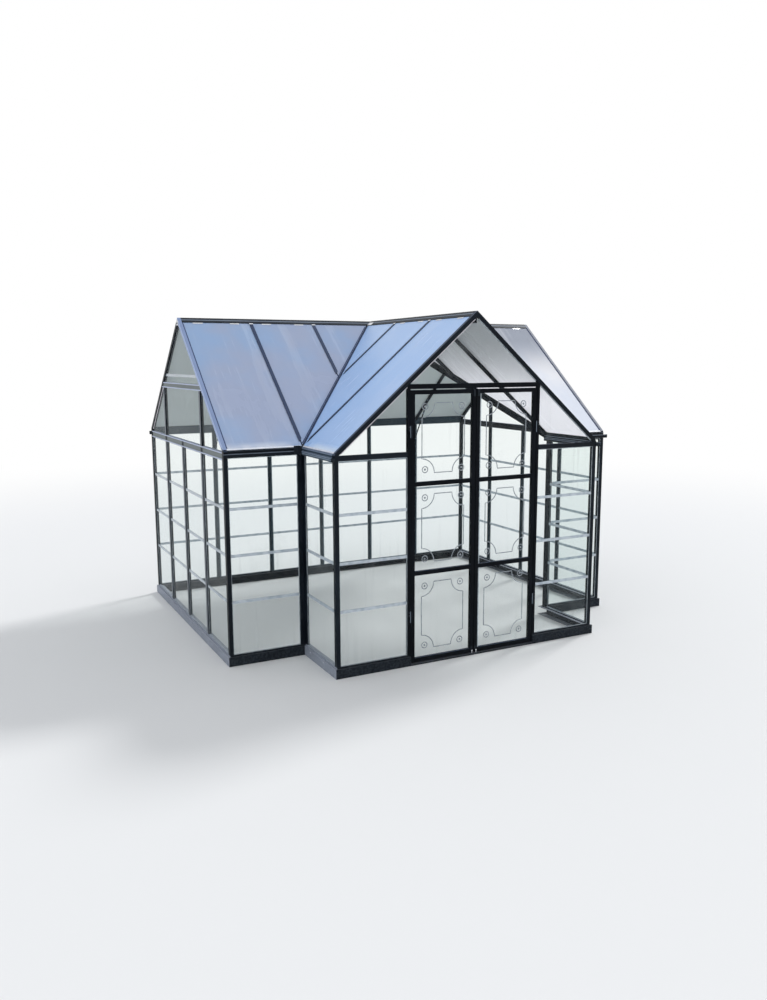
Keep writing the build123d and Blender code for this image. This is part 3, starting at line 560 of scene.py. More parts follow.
# the left rafter beads, painted pale as painted light; the right ones keep the plain bead
paintedLightBeadLook = dict(stripLook, colour=(0.84, 0.79, 0.84), shade=(0.60, 0.57, 0.62), solid=0.92)
milkyLook = dict(stripLook, colour=(0.86, 0.88, 0.94), shade=(0.60, 0.66, 0.76), solid=0.95)
scrollLook = dict(stripLook, colour=(0.36, 0.40, 0.44), shade=(0.14, 0.17, 0.20), solid=0.95)


def stripMaterial(name, look):
    material, recipe = newMaterial(name)
    dirt = recipe.noise(look["dirtScale"], 4)
    film = recipe.node("BsdfPrincipled", None, {
        "Base Color": recipe.blend(dirt.within(0.35, 0.75), look["colour"], look["shade"]),
        "Roughness": 0.12 + dirt * 0.25,
        "Coat Weight": 0.4,
        "Coat Roughness": 0.05,
        "Normal": recipe.bump(recipe.noise(look["grainScale"], 2), 0.15, 0.001),
    })
    clear = recipe.node("BsdfTransparent", None, {"Color": (0.90, 0.94, 0.96, 1)})
    recipe.finish(recipe.either(look["solid"] + (dirt - 0.5) * 0.2, clear, film))
    return material


# clips, plates and screws of steel, and seals and plugs of rubber or plastic
metalLook = {"wearScale": 140, "wornShare": 0.55, "metallic": 0.9}
rubberLook = {"grainScale": 240, "paleShare": 2.2, "shine": 0.12}


def metalMaterial(name, colour, roughness):
    material, recipe = newMaterial(name)
    wear = recipe.noise(metalLook["wearScale"], 4)
    worn = [c * metalLook["wornShare"] for c in colour]
    recipe.finish(recipe.node("BsdfPrincipled", None, {
        "Base Color": recipe.blend(wear.within(0.3, 0.8), colour, worn),
        "Metallic": metalLook["metallic"],
        "Roughness": roughness + wear * 0.2,
        "Normal": recipe.bump(wear, 0.1, 0.0004),
    }))
    return material


def rubberMaterial(name, colour, roughness):
    material, recipe = newMaterial(name)
    grain = recipe.noise(rubberLook["grainScale"], 3)
    pale = [c * rubberLook["paleShare"] for c in colour]
    recipe.finish(recipe.node("BsdfPrincipled", None, {
        "Base Color": recipe.blend(grain, colour, pale),
        "Roughness": roughness + grain * 0.12,
        "Specular IOR Level": rubberLook["shine"],
        "Normal": recipe.bump(grain, 0.2, 0.0005),
    }))
    return material


# every finish with the function that makes it
finishes = [
    (paintMaterial, {
        "framePaint": (paintLook,),
        "doorPaint": (doorLook, None, True),
        "farPaint": (farLook,),
        "leftPostPaint": (leftPostLook,),
        "rafterPaint": (rafterLook,),
        "rightRafterPaint": (rightRafterLook,),
        "tiePaint": (tieLook, lipLines),
        "barPaint": (barLook,),
        "wingEavePaint": (wingEaveLook, gutterRim),
        "bayEavePaint": (bayEaveLook, eaveLines),
        "ridgePaint": (ridgeLook, ridgeLines),
        "bracePaint": (paintLook, braceDashes),
        "basePaint": (baseLook,),
        "sideBasePaint": (sideBaseLook,),
    }),
    (sheetMaterial, {
        "hallSheet": (sheetLook, 0),
        "rightHallSheet": (rightSheetLook, 0),
        "leftBaySheet": (leftBaySheetLook, 1),
        "rightBaySheet": (rightBaySheetLook, 1),
    }),
    (paneMaterial, {"clearPane": (paneLook,)}),
    (stripMaterial, {
        "jointStrip": (stripLook,),
        "paneBead": (beadLook,),
        "pearlBead": (paintedLightBeadLook,),
        "milkyEnd": (milkyLook,),
        "scrollLine": (scrollLook,),
    }),
    (metalMaterial, {
        "brightSteel": ((0.82, 0.84, 0.88), 0.25),
        "darkSteel": ((0.10, 0.11, 0.13), 0.35),
    }),
    (rubberMaterial, {
        "blackSeal": ((0.006, 0.008, 0.011), 0.55),
        "navySeal": ((0.022, 0.036, 0.085), 0.55),
        "blackPlastic": ((0.008, 0.011, 0.015), 0.42),
    }),
]
looks = {name: make(name, *how) for make, named in finishes for name, how in named.items()}

# the finish of each slot, and the nodes that have one of their own
slotLooks = {
    "frame_paint": "framePaint",
    "base_steel": "basePaint",
    "roof_sheet": "hallSheet",
    "clear_pane": "clearPane",
    "clear_strip": "jointStrip",
}
nodeLooks = {
    "sideBasePaint": ("side_bases", "bay_bases"),
    "wingEavePaint": ("wing_eaves",),
    "bayEavePaint": ("bay_eaves",),
    "barPaint": ("front_roof_bars", "bay_roof_bars", "valley_rafters"),
    "farPaint": ("back_eave", "back_wall_posts", "right_wall_posts"),
    "leftPostPaint": ("left_wall_posts",),
    "ridgePaint": ("hall_ridge", "bay_ridge"),
    "bracePaint": ("roof_braces",),
    "doorPaint": ("door_header", "door_posts", "left_door_frame", "right_door_frame"),
    "tiePaint": ("tie_beams", "gable_rails"),
    "rafterPaint": ("left_gable_rafters",),
    "rightRafterPaint": ("right_gable_rafters",),
    "rightHallSheet": ("right_roof_sheets",),
    "leftBaySheet": ("bay_left_roof_sheets",),
    "rightBaySheet": ("bay_right_roof_sheets",),
    "scrollLine": ("left_door_scrollwork", "right_door_scrollwork"),
}
lookOfNode = {node: look for look, nodes in nodeLooks.items() for node in nodes}

for part in frame["record"]["subparts"]:
    mesh = frame["nodes"][part["node"]].data
    mesh.materials.clear()
    mesh.materials.append(looks[lookOfNode.get(part["node"], slotLooks[part["material_slot"]])])
print("materials set on the frame")


# mesh helpers

def sweep(mesh, section, start, end, across, upward):
    # a closed section carried from start to end
    ends = []
    for centre in (start, end):
        ends.append([mesh.verts.new(centre + across * a + upward * b) for a, b in section])
    count = len(section)
    for n in range(count):
        m = (n + 1) % count
        mesh.faces.new((ends[0][n], ends[0][m], ends[1][m], ends[1][n]))
    mesh.faces.new(ends[0][::-1])
    mesh.faces.new(ends[1])


def trace(mesh, section, path, out, closed=False):
    # a closed section carried along a path that lies in the plane facing out
    rings = []
    count = len(path)
    for n, point in enumerate(path):
        before = path[n - 1] if n or closed else point
        after = path[(n + 1) % count] if n + 1 < count or closed else point
        across = out.cross(after - before).normalized()
        rings.append([mesh.verts.new(point + across * a + out * b) for a, b in section])
    pairs = list(zip(rings, rings[1:])) + ([(rings[-1], rings[0])] if closed else [])
    for first, second in pairs:
        for n in range(len(section)):
            m = (n + 1) % len(section)
            mesh.faces.new((first[n], first[m], second[m], second[n]))
    if not closed:
        mesh.faces.new(rings[0][::-1])
        mesh.faces.new(rings[-1])


def lathe(mesh, outline, seat, axis, sides=14):
    # an outline of (radius, height) turned about an axis
    side = axis.orthogonal().normalized()
    other = axis.cross(side)
    rings = []
    for radius, height in outline:
        centre = seat + axis * height
        if radius == 0:
            rings.append([mesh.verts.new(centre)])
            continue
        turns = [2 * pi * n / sides for n in range(sides)]
        rings.append([mesh.verts.new(centre + (side * cos(t) + other * sin(t)) * radius) for t in turns])
    for low, high in zip(rings, rings[1:]):
        for n in range(sides):
            m = (n + 1) % sides
            if len(high) == 1:
                mesh.faces.new((low[n], low[m], high[0]))
            else:
                mesh.faces.new((low[n], low[m], high[m], high[n]))
    mesh.faces.new(rings[0][::-1])


def plate(mesh, centre, across, upward, out, width, height, thick):
    # a flat plate whose back lies at its centre point
    a, b = width / 2, height / 2
    sweep(mesh, [(-a, -b), (a, -b), (a, b), (-a, b)], centre, centre + out * thick, across, upward)


def addPiece(name, mesh, look, body="frame", bevel=0.0, smooth=False):
    bmesh.ops.recalc_face_normals(mesh, faces=mesh.faces)
    data = bpy.data.meshes.new(name)
    mesh.to_mesh(data)
    mesh.free()
    piece = bpy.data.objects.new(name, data)
    scene.collection.objects.link(piece)
    data.materials.append(looks[look])
    for face in data.polygons:
        face.use_smooth = smooth
    if bevel:
        rounding = piece.modifiers.new("rounding", "BEVEL")  # small rounded edges
        rounding.width = bevel
        rounding.segments = 2
        rounding.limit_method = "ANGLE"
        rounding.angle_limit = radians(40)
    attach(piece, body)
    return piece


# screw heads: washer, side, rounded rim and socket, in shares of the radius and of the height
screwHead = {
    "heightShare": 0.003 / 0.0055,
    "outline": [
        (1.5, 0), (1.5, 0.22), (1, 0.26), (1, 0.62), (0.86, 0.88), (0.62, 1),
        (0.42, 1), (0.42, 0.6), (0, 0.55),
    ],
}


def screw(mesh, seat, axis, radius):
    height = radius * screwHead["heightShare"]
    lathe(mesh, [(a * radius, b * height) for a, b in screwHead["outline"]], seat, axis.normalized())


# roof sheets: folded ends and seals
sheetEnd = {"lip": 0.013, "thick": 0.0012, "gap": 0.0003, "besideBar": 0.0005, "besideRafter": 0.001}
rafterSeal = {"width": 0.010, "thick": 0.0016, "gap": 0.0002, "taper": 0.002}
underRidge = house["ridgeWing"] + 0.001  # where clips and seals end, just below the ridge cap's wing


def sheetRuns():
    # each sheet's slope with the two edges that show between bars and rafters
    bar, side = house["barHalf"] + sheetEnd["besideBar"], house["rafterIn"] + sheetEnd["besideRafter"]
    bayDepth = hallY - bayY
    last = len(roofEdges) - 2
    runs = []
    for n, (left, right) in enumerate(zip(roofEdges, roofEdges[1:])):
        runs.append((backSlope, left + (bar if n else side), right - (bar if n < last else side)))
    runs.append((frontSlope, -halfLength + side, -bayHalf - bar))
    runs.append((frontSlope, bayHalf + bar, halfLength - side))
    runs.append((leftBaySlope, bar, bayDepth - side))
    runs.append((rightBaySlope, side - bayDepth, -bar))
    return runs


def addSheetEnds():
    # a milky profile folded over the lower end of each sheet
    gap, thick, lip = sheetEnd["gap"], sheetEnd["thick"], sheetEnd["lip"]
    section = [
        (lip, gap), (lip, gap + thick), (-gap - thick, gap + thick),
        (-gap - thick, -house["sheetThick"]), (-gap, -house["sheetThick"]), (-gap, gap),
    ]
    mesh = bmesh.new()
    for slope, first, last in sheetRuns():
        low = -house["sheetOver"]
        sweep(mesh, section, slope.point(first, low), slope.point(last, low), slope.up, slope.out)
    addPiece("sheetEnds", mesh, "milkyEnd")


def addRafterSeals():
    # a dark rubber bead on the sheets along the inside of each gable rafter
    gap, thick = rafterSeal["gap"], rafterSeal["thick"]
    mesh = bmesh.new()
    bayDepth = hallY - bayY
    lines = [
        (frontSlope, -halfLength, 1), (frontSlope, halfLength, -1), (backSlope, -halfLength, 1),
        (backSlope, halfLength, -1), (leftBaySlope, bayDepth, -1), (rightBaySlope, -bayDepth, 1),
    ]
    for slope, place, inward in lines:
        near = house["rafterIn"] + gap
        far = near + rafterSeal["width"]
        section = [(near, gap), (far, gap), (far - rafterSeal["taper"], gap + thick), (near, gap + thick)]
        start = slope.point(place, -house["sheetOver"] + sheetEnd["lip"])
        end = slope.point(place, slope.run - underRidge)
        sweep(mesh, section, start, end, slope.along * inward, slope.out)
    addPiece("rafterSeals", mesh, "navySeal")


# seals on the cut edges of the sheets along the valleys
valleySeal = {
    "from": 0.0093,
    "width": 0.0065,
    "thick": 0.0016,
    "gap": 0.0002,
    "aboveEave": 0.03,
    "belowRidge": 0.10,
}


def addValleySeals():
    mesh = bmesh.new()
    low, high = valleySeal["gap"], valleySeal["gap"] + valleySeal["thick"]
    top = Vector((0, ridgeY, house["eave"] + rise))
    for baySlope in (leftBaySlope, rightBaySlope):
        way = (top - baySlope.foot).normalized()
        level = way.cross(upAxis).normalized()
        start, end = baySlope.foot + way * valleySeal["aboveEave"], top - way * valleySeal["belowRidge"]
        for slope in (frontSlope, baySlope):
            away = slope.out.cross(way)
            if (away.y < 0) == (slope is frontSlope):
                away.negate()  # now it points from the valley into the slope
            near = valleySeal["from"] / abs(away.dot(level))
            far = near + valleySeal["width"]
            section = [(near, low), (far, low), (far, high), (near, high)]
            sweep(mesh, section, start, end, away, slope.out)
    addPiece("valleySeals", mesh, "navySeal")


# bright clips under the ridge caps and over the ends of the bars
ridgeClip = {"length": 0.085, "height": 0.013, "thick": 0.0022, "lift": 0.0004, "shares": (0.24, 0.76)}
barClip = {"length": 0.035, "height": 0.012, "thick": 0.0016, "lift": house["barLip"] + 0.0002}


def ridgeSpans():
    # each stretch of ridge cap between two bars, but none in front where the bay's roof meets the hall's
    pairs = list(zip(roofEdges, roofEdges[1:]))
    spans = [(backSlope, a, b) for a, b in pairs]
    spans += [(frontSlope, a, b) for a, b in pairs if abs(a + b) > bayModule * 1.5]
    depths = [hallY - bayY, 0, -hallModule]
    for far, near in zip(depths, depths[1:]):
        spans += [(leftBaySlope, near, far), (rightBaySlope, -far, -near)]
    return spans


def clipUnderRidge(mesh, clip, slope, middle):
    tall, half = clip["height"], clip["length"] / 2
    low, high = clip["lift"], clip["lift"] + clip["thick"]
    section = [(0, low), (0, high), (tall, high), (tall, low)]
    reach = slope.run - underRidge - tall * slope.cos
    start, end = slope.point(middle - half, reach), slope.point(middle + half, reach)
    sweep(mesh, section, start, end, slope.up, slope.out)


def addRidgeClips():
    mesh = bmesh.new()
    for slope, first, last in ridgeSpans():
        for share in ridgeClip["shares"]:
            clipUnderRidge(mesh, ridgeClip, slope, first + (last - first) * share)
    addPiece("ridgeClips", mesh, "brightSteel", bevel=0.0006)


def addBarClips():
    mesh = bmesh.new()
    bars = [(backSlope, bayModule * n) for n in range(-2, 3)]
    bars += [(frontSlope, side * bayModule * n) for n in (1, 2) for side in (-1, 1)]
    bars += [(leftBaySlope, -hallModule * n) for n in (0, 1)]
    bars += [(rightBaySlope, hallModule * n) for n in (0, 1)]
    for slope, place in bars:
        clipUnderRidge(mesh, barClip, slope, place)
    addPiece("barClips", mesh, "brightSteel", bevel=0.0005)


# gutter ends
gutterEnd = {"thick": 0.003, "below": 0.0035, "inset": 0.0003, "corner": 0.002}


def addGutterEnds():
    # a plug in each open end of the gutters
    inset, corner = gutterEnd["inset"], gutterEnd["corner"]
    near = house["gutterNear"] + inset
    far = house["gutterNear"] + house["gutterWidth"] - house["gutterWall"] - inset
    high = rimTop - gutterEnd["below"]
    low = rimTop - house["gutterDepth"] + house["gutterWall"] + inset
    outline = [(near, high), (near, low), (far - corner, low), (far, low + corner), (far, high)]
    past = house["gutterPast"]
    ends = [(back, 1), (back, -1), (leftWing, 1), (rightWing, -1), (leftBay, -1), (rightBay, 1)]
    mesh = bmesh.new()
    for wall, inward in ends:
        start = wall.point(-past if inward > 0 else wall.length + past, 0)
        sweep(mesh, outline, start, start + wall.along * inward * gutterEnd["thick"], wall.out, upAxis)
    addPiece("gutterEnds", mesh, "blackPlastic", bevel=0.0005)


# plates at the tops of the side gables, and over the end of the bay's ridge
apexPlate = {
    "half": 0.024,
    "drop": 0.034,
    "thick": 0.0022,
    "below": 0.006,
    "gap": 0.0002,
    "screwAside": 0.0132,
    "screwDrop": 0.0153,
    "screwRadius": 0.004,
}
ridgeSaddle = {
    "length": 0.085,
    "low": 0.044,
    "high": 0.006,
    "thick": 0.0014,
    "gap": 0.0003,
    "endGap": 0.002,
}


def addApexPlates():
    mesh = bmesh.new()
    screws = bmesh.new()
    top = house["eave"] + rise - apexPlate["below"]
    half, drop = apexPlate["half"], apexPlate["drop"]
    fall = half * frontSlope.tan
    outline = [(0, 0), (half, -fall), (half, -fall - drop), (-half, -fall - drop), (-half, -fall)]
    for wall in (leftSide, rightSide):
        start = wall.point(wall.length / 2, top, house["postOut"] + apexPlate["gap"])
        sweep(mesh, outline, start, start + wall.out * apexPlate["thick"], wall.along, upAxis)
        for side in (-1, 1):
            aside = wall.along * side * apexPlate["screwAside"]
            seat = start + aside - upAxis * (fall + apexPlate["screwDrop"]) + wall.out * apexPlate["thick"]
            screw(screws, seat, wall.out, apexPlate["screwRadius"])
    addPiece("apexPlates", mesh, "brightSteel", bevel=0.0006)
    addPiece("apexScrews", screws, "blackPlastic")


def addRidgeSaddle():
    # two light plates, one on each side of the ridge, where it meets the hall's
    mesh = bmesh.new()
    low = house["ridgeLift"] + ridgeSaddle["gap"]
    high = low + ridgeSaddle["thick"]
    wide = ridgeSaddle["low"] - ridgeSaddle["high"]
    section = [(0, low), (0, high), (wide, high), (wide, low)]
    far = ridgeY - house["ridgeWing"] - ridgeSaddle["endGap"] - hallY
    near = far - ridgeSaddle["length"]
    for slope, hand in ((leftBaySlope, -1), (rightBaySlope, 1)):
        reach = slope.run - ridgeSaddle["low"]
        first, last = (slope.point(hand * place, reach) for place in (near, far))
        sweep(mesh, section, first, last, slope.up, slope.out)
    addPiece("ridgeSaddle", mesh, "brightSteel", bevel=0.0004)


# dark angles over the mitres where the gutters of the wings and the bay meet
mitre = {"leg": 0.046, "thick": 0.0018, "above": 0.010, "lift": 0.001, "gap": 0.0002}


def addMitreAngles():
    mesh = bmesh.new()
    out = house["gutterNear"] + house["gutterWidth"] + mitre["gap"]
    low = rimTop - house["gutterDepth"] + mitre["lift"]
    high = house["eave"] + mitre["above"]
    for hand in (-1, 1):
        corner = Vector((hand * (bayHalf + out), hallY - out, (low + high) / 2))
        across = alongX * hand
        leg, thick = mitre["leg"], mitre["thick"]
        plate(mesh, corner + across * leg / 2, across, upAxis, outFront, leg, high - low, thick)
        plate(mesh, corner + outFront * (leg / 2 + thick), outFront, upAxis, across, leg, high - low, thick)
    addPiece("mitreAngles", mesh, "blackPlastic", bevel=0.0005)


addSheetEnds()
addRafterSeals()
addValleySeals()
addRidgeClips()
addBarClips()
addGutterEnds()
addApexPlates()
addRidgeSaddle()
addMitreAngles()
print("roof trim made")


# glazing beads
bead = {"width": 0.006, "thick": 0.0022, "gap": 0.0002, "fit": 0.0003, "crown": 0.6}
jointStrip = {"belowEave": 0.451, "pitch": 0.361, "half": 0.0115}
stripHeights = [house["eave"] - jointStrip["belowEave"] - jointStrip["pitch"] * n for n in (2, 1, 0)]


def beadRun(mesh, wall, begin, end, width, thick):
    # one thin strip on the outer face of the panes, lying on the left of its way
    depth = house["paneThick"] / 2 + bead["gap"]
    first, second = wall.point(*begin, depth), wall.point(*end, depth)
    inward = wall.out.cross(second - first).normalized()
    section = [(0, 0), (width, 0), (width * bead["crown"], thick), (0, thick)]
    sweep(mesh, section, first, second, inward, wall.out)


def beadFrame(mesh, wall, left, right, low, high):
    # strips round one opening between posts, broken at the joint strips
    wide, thick = bead["width"], bead["thick"]
    beadRun(mesh, wall, (left, low), (right, low), wide, thick)
    beadRun(mesh, wall, (right, high), (left, high), wide, thick)
    breaks = [middle + side * jointStrip["half"] for middle in stripHeights for side in (-1, 1)]
    levels = [low + wide, *breaks, high - wide]
    for foot, head in zip(levels[::2], levels[1::2]):
        beadRun(mesh, wall, (right, foot), (right, head), wide, thick)
        beadRun(mesh, wall, (left, head), (left, foot), wide, thick)


def addPaneBeads():
    fit = bead["fit"]
    wide, deep, leg, cap, low = (
        house[name] + fit for name in ("cornerWide", "cornerDeep", "innerLeg", "capHalf", "baseTop")
    )
    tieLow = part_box("tie_beams")[0].z - fit
    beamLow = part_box("back_wall_posts")[1].z - fit
    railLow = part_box("front_rails")[0].z - fit
    edge = bayHalf - doorEdge - fit
    runs = [
        (leftSide, deep, leftSide.length - deep, sidePosts, tieLow),
        (rightSide, deep, rightSide.length - deep, sidePosts, tieLow),
        (back, wide, back.length - wide, backPosts, beamLow),
        (leftWing, wide, leftWing.length - leg, [], beamLow),
        (rightWing, leg, rightWing.length - wide, [], beamLow),
        (leftBay, leg, leftBay.length - deep, [], beamLow),
        (rightBay, deep, rightBay.length - leg, [], beamLow),
        (front, wide, edge, [], railLow),
        (front, front.length - edge, front.length - wide, [], railLow),
    ]
    mesh = bmesh.new()
    for wall, first, last, posts, high in runs:
        starts = [first] + [place + cap for place in posts]
        ends = [place - cap for place in posts] + [last]
        for left, right in zip(starts, ends):
            beadFrame(mesh, wall, left, right, low, high)
    addPiece("paneBeads", mesh, "paneBead")


# beads under the rafters: how far each one stays from what is beside, above and below it
rafterBead = {
    "width": 0.009,
    "thick": 0.0030,
    "besideCorner": 0.020,
    "besidePost": 0.002,
    "besideDoor": 0.004,
    "besideJamb": 0.012,
    "besideApex": 0.018,
    "underRafter": 0.0006,
    "overRail": 0.0023,
}


def addRafterBeads():
    # strips on the gable panes under the rafters, the left ones painted pale as painted light
    paintedLightBeads = bmesh.new()
    plain = bmesh.new()
    railTop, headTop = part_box("front_rails")[1].z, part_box("door_header")[1].z
    wide, thick = rafterBead["width"], rafterBead["thick"]
    doorPost = bayHalf - doorEdge
    corner = rafterBead["besideCorner"]
    frontSpans = [
        (house["cornerWide"] + corner, doorPost - rafterBead["besideDoor"], railTop),
        (doorPost + house["jamb"] + rafterBead["besideJamb"], bayHalf - rafterBead["besideApex"], headTop),
    ]
    sideSpans = [
        (house["cornerDeep"] + corner, hallModule - house["capHalf"] - rafterBead["besidePost"], railTop),
    ]
    gables = [(front, leftBaySlope, frontSpans)]
    gables += [(wall, frontSlope, sideSpans) for wall in (leftSide, rightSide)]
    for wall, slope, spans in gables:
        under = (house["rafterDepth"] + rafterBead["underRafter"]) / slope.cos
        for begin, end, floor in spans:
            lowest = floor + rafterBead["overRail"] + under
            foot = max(begin, (lowest - house["eave"]) / slope.tan)
            ends = [(place, house["eave"] + place * slope.tan - under) for place in (foot, end)]
            beadRun(paintedLightBeads, wall, ends[1], ends[0], wide, thick)
            other = [(wall.length - place, height) for place, height in ends]
            beadRun(plain, wall, other[0], other[1], wide, thick)
    addPiece("rafterBeads", paintedLightBeads, "pearlBead")
    addPiece("plainRafterBeads", plain, "paneBead")


addPaneBeads()
addRafterBeads()
print("beads made")


# joint plates on the tie beams and screws along the bases
tiePlate = {
    "width": 0.046,
    "thick": 0.0030,
    "recess": 0.0048,
    "gap": 0.0005,
    "screwAside": 0.01288,
    "screwRadius": 0.0045,
}
baseScrew = {"height": 0.055, "places": (0.14, 0.40), "sunk": 0.0004, "radius": 0.0048}
baseEnd = {"thick": 0.002, "inset": 0.0006}


def addTiePlates():
    # dark plates in the hollow face of the tie beam at each post, with two screws each
    low, high = (corner.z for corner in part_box("tie_beams"))
    middle, tall = (low + high) / 2, high - low - 2 * (house["lip"] + tiePlate["gap"])
    wide, thick = tiePlate["width"], tiePlate["thick"]
    seatOut = house["postOut"] - tiePlate["recess"]
    plates = bmesh.new()
    screws = bmesh.new()
    for wall in (leftSide, rightSide):
        for place in sidePosts:
            centre = wall.point(place, middle, seatOut)
            plate(plates, centre, wall.along, upAxis, wall.out, wide, tall, thick)
            for side in (-1, 1):
                seat = centre + wall.along * side * tiePlate["screwAside"] + wall.out * thick
                screw(screws, seat, wall.out, tiePlate["screwRadius"])
    addPiece("tiePlates", plates, "blackPlastic", bevel=0.0006)
    addPiece("tieScrews", screws, "darkSteel")


def addBaseScrews():
    # two screws in each side of the bay's base
    mesh = bmesh.new()
    out = house["baseOut"] - baseScrew["sunk"]
    for wall in (leftBay, rightBay):
        for place in baseScrew["places"]:
            along = place if wall is leftBay else wall.length - place
            screw(mesh, wall.point(along, baseScrew["height"], out), wall.out, baseScrew["radius"])
    addPiece("baseScrews", mesh, "brightSteel")


def addBaseEnds():
    # a plate in the open end of the front base on each side of the doorway
    low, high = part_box("front_bases")
    wall, gap = house["baseWall"], baseEnd["inset"]
    mesh = bmesh.new()
    height = house["baseTop"] - house["sill"] - 2 * (wall + gap)
    depth = high.y - low.y - wall - 2 * gap
    for hand in (-1, 1):
        centre = Vector((hand * (doorway + gap), high.y - gap - depth / 2, wall + gap + height / 2))
        plate(mesh, centre, -outFront, upAxis, alongX * hand, depth, height, baseEnd["thick"])
    addPiece("baseEnds", mesh, "blackPlastic")


addTiePlates()
addBaseScrews()
addBaseEnds()
print("plates and screws made")


# doors: raised lines on the lights, seals, latches and bolts
leaf = {"bite": 0.008, "stile": 0.032, "endGap": 0.002}
scroll = {
    "inset": 0.064,
    "scallop": 0.108,
    "ringInset": 0.027,
    "ring": 0.0235,
    "boss": 0.0085,
    "bossHeight": 0.003825,
    "half": 0.0036,
    "lift": 0.0023,
}
doorSeal = {"free": 0.0042, "hinged": 0.0036, "thick": 0.010, "inFront": 0.004, "round": 0.3}
gripStrip = {"width": 0.014, "thick": 0.0016, "gap": 0.0003, "endGap": 0.001}
latch = {"wide": 0.018, "tall": 0.050, "thick": 0.006, "below": 0.004}
floorBolt = {"fromEdge": 0.016, "tall": 0.032, "thick": 0.0025, "lift": 0.034, "below": 0.004}
boltOutline = [
    (0.0036, 0), (0.0045, 0.002), (0.0045, 0.016), (0.0063, 0.018), (0.0063, 0.024), (0, 0.026),
]
leafFace = bayY - house["postOut"]


class Leaf:
    # one door leaf: the hand it hangs on, its corners, and the middles and size of its three lights

    def __init__(self, side):
        self.side = side
        self.body = side + "_door"
        self.hand = -1 if side == "left" else 1
        self.low, self.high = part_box(side + "_door_frame")
        self.free = self.high.x if side == "left" else self.low.x
        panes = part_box(side + "_door_panes")
        self.hinged = panes[0 if side == "left" else 1].x + self.hand * (leaf["stile"] - leaf["bite"])
        self.lightEdge = panes[0].x + leaf["bite"]
        self.lightWidth = panes[1].x - leaf["bite"] - self.lightEdge
        foot = panes[0].z + leaf["bite"]
        self.lightHeight = (panes[1].z - leaf["bite"] - foot - 2 * leaf["stile"]) / 3
        pitch = self.lightHeight + leaf["stile"]
        self.middles = [foot + self.lightHeight / 2 + n * pitch for n in range(3)]


def halfRound(radius, sides=6):
    # the section of a raised line, flat on the pane
    return [(radius * cos(pi * n / sides), radius * sin(pi * n / sides)) for n in range(sides + 1)]


def dome(radius, height, rings=4):
    turns = [pi * n / 2 / rings for n in range(rings)]
    return [(radius * cos(t), height * sin(t)) for t in turns] + [(0, height)]


def scallopPath(width, height, radius, steps=14):
    # a rectangle with a quarter circle bitten out of each corner
    points = []
    for cornerX, cornerY, first in ((1, 1, 270), (-1, 1, 0), (-1, -1, 90), (1, -1, 180)):
        x, y = cornerX * width / 2, cornerY * height / 2
        for n in range(steps + 1):
            turn = radians(first - 90 * n / steps)
            points.append((x + radius * cos(turn), y + radius * sin(turn)))
    return points


def ringPath(centre, radius, steps=28):
    turns = [2 * pi * n / steps for n in range(steps)]
    return [(centre[0] + radius * cos(t), centre[1] + radius * sin(t)) for t in turns]


def addScrollwork(door):
    # on each light a line with scalloped corners, and a ring with a boss in each scallop
    width, height = door.lightWidth - 2 * scroll["inset"], door.lightHeight - 2 * scroll["inset"]
    ringX, ringZ = width / 2 - scroll["ringInset"], height / 2 - scroll["ringInset"]
    rings = [(handX * ringX, handZ * ringZ) for handX in (-1, 1) for handZ in (-1, 1)]
    lines = [scallopPath(width, height, scroll["scallop"])]
    lines += [ringPath(ring, scroll["ring"]) for ring in rings]
    section = halfRound(scroll["half"])
    mesh = bmesh.new()
    for middle in door.middles:
        centre = Vector((door.lightEdge + door.lightWidth / 2, bayY - scroll["lift"], middle))
        for line in lines:
            trace(mesh, section, [centre + alongX * x + upAxis * z for x, z in line], outFront, True)
        for x, z in rings:
            boss = dome(scroll["boss"], scroll["bossHeight"])
            lathe(mesh, boss, centre + alongX * x + upAxis * z, outFront, 18)
    piece = addPiece(door.side + "DoorScrolls", mesh, "scrollLine", door.body, smooth=True)
    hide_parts(door.side + "_door_scrollwork")


def addDoorSeals(door):
    # a black seal beside the hinged stile, and one down the free edge of the left leaf
    edges = [(door.hinged, door.hand * doorSeal["hinged"])]
    if door.side == "left":
        edges.append((door.free, doorSeal["free"]))
    thick, depth = doorSeal["thick"], leafFace + doorSeal["inFront"]
    mesh = bmesh.new()
    for edge, reach in edges:
        side, top = reach * (1 - doorSeal["round"]), thick * doorSeal["round"]
        section = [(0, 0), (side, 0), (reach, top), (reach, thick - top), (side, thick), (0, thick)]
        start = Vector((edge, depth, door.low.z + leaf["endGap"]))
        end = Vector((edge, depth, door.high.z - leaf["endGap"]))
        sweep(mesh, section, start, end, alongX, -outFront)
    addPiece(door.side + "DoorSeals", mesh, "blackSeal", body=door.body)


def addGripStrip(door):
    # a grey translucent strip beside the free stile, on each light
    wide = gripStrip["width"]
    x = door.lightEdge + gripStrip["gap"] + wide / 2
    face = bayY - house["paneThick"] / 2 - bead["gap"]
    tall = door.lightHeight - 2 * gripStrip["endGap"]
    mesh = bmesh.new()
    for middle in door.middles:
        plate(mesh, Vector((x, face, middle)), alongX, upAxis, outFront, wide, tall, gripStrip["thick"])
    addPiece(door.side + "GripStrip", mesh, "paneBead", door.body)


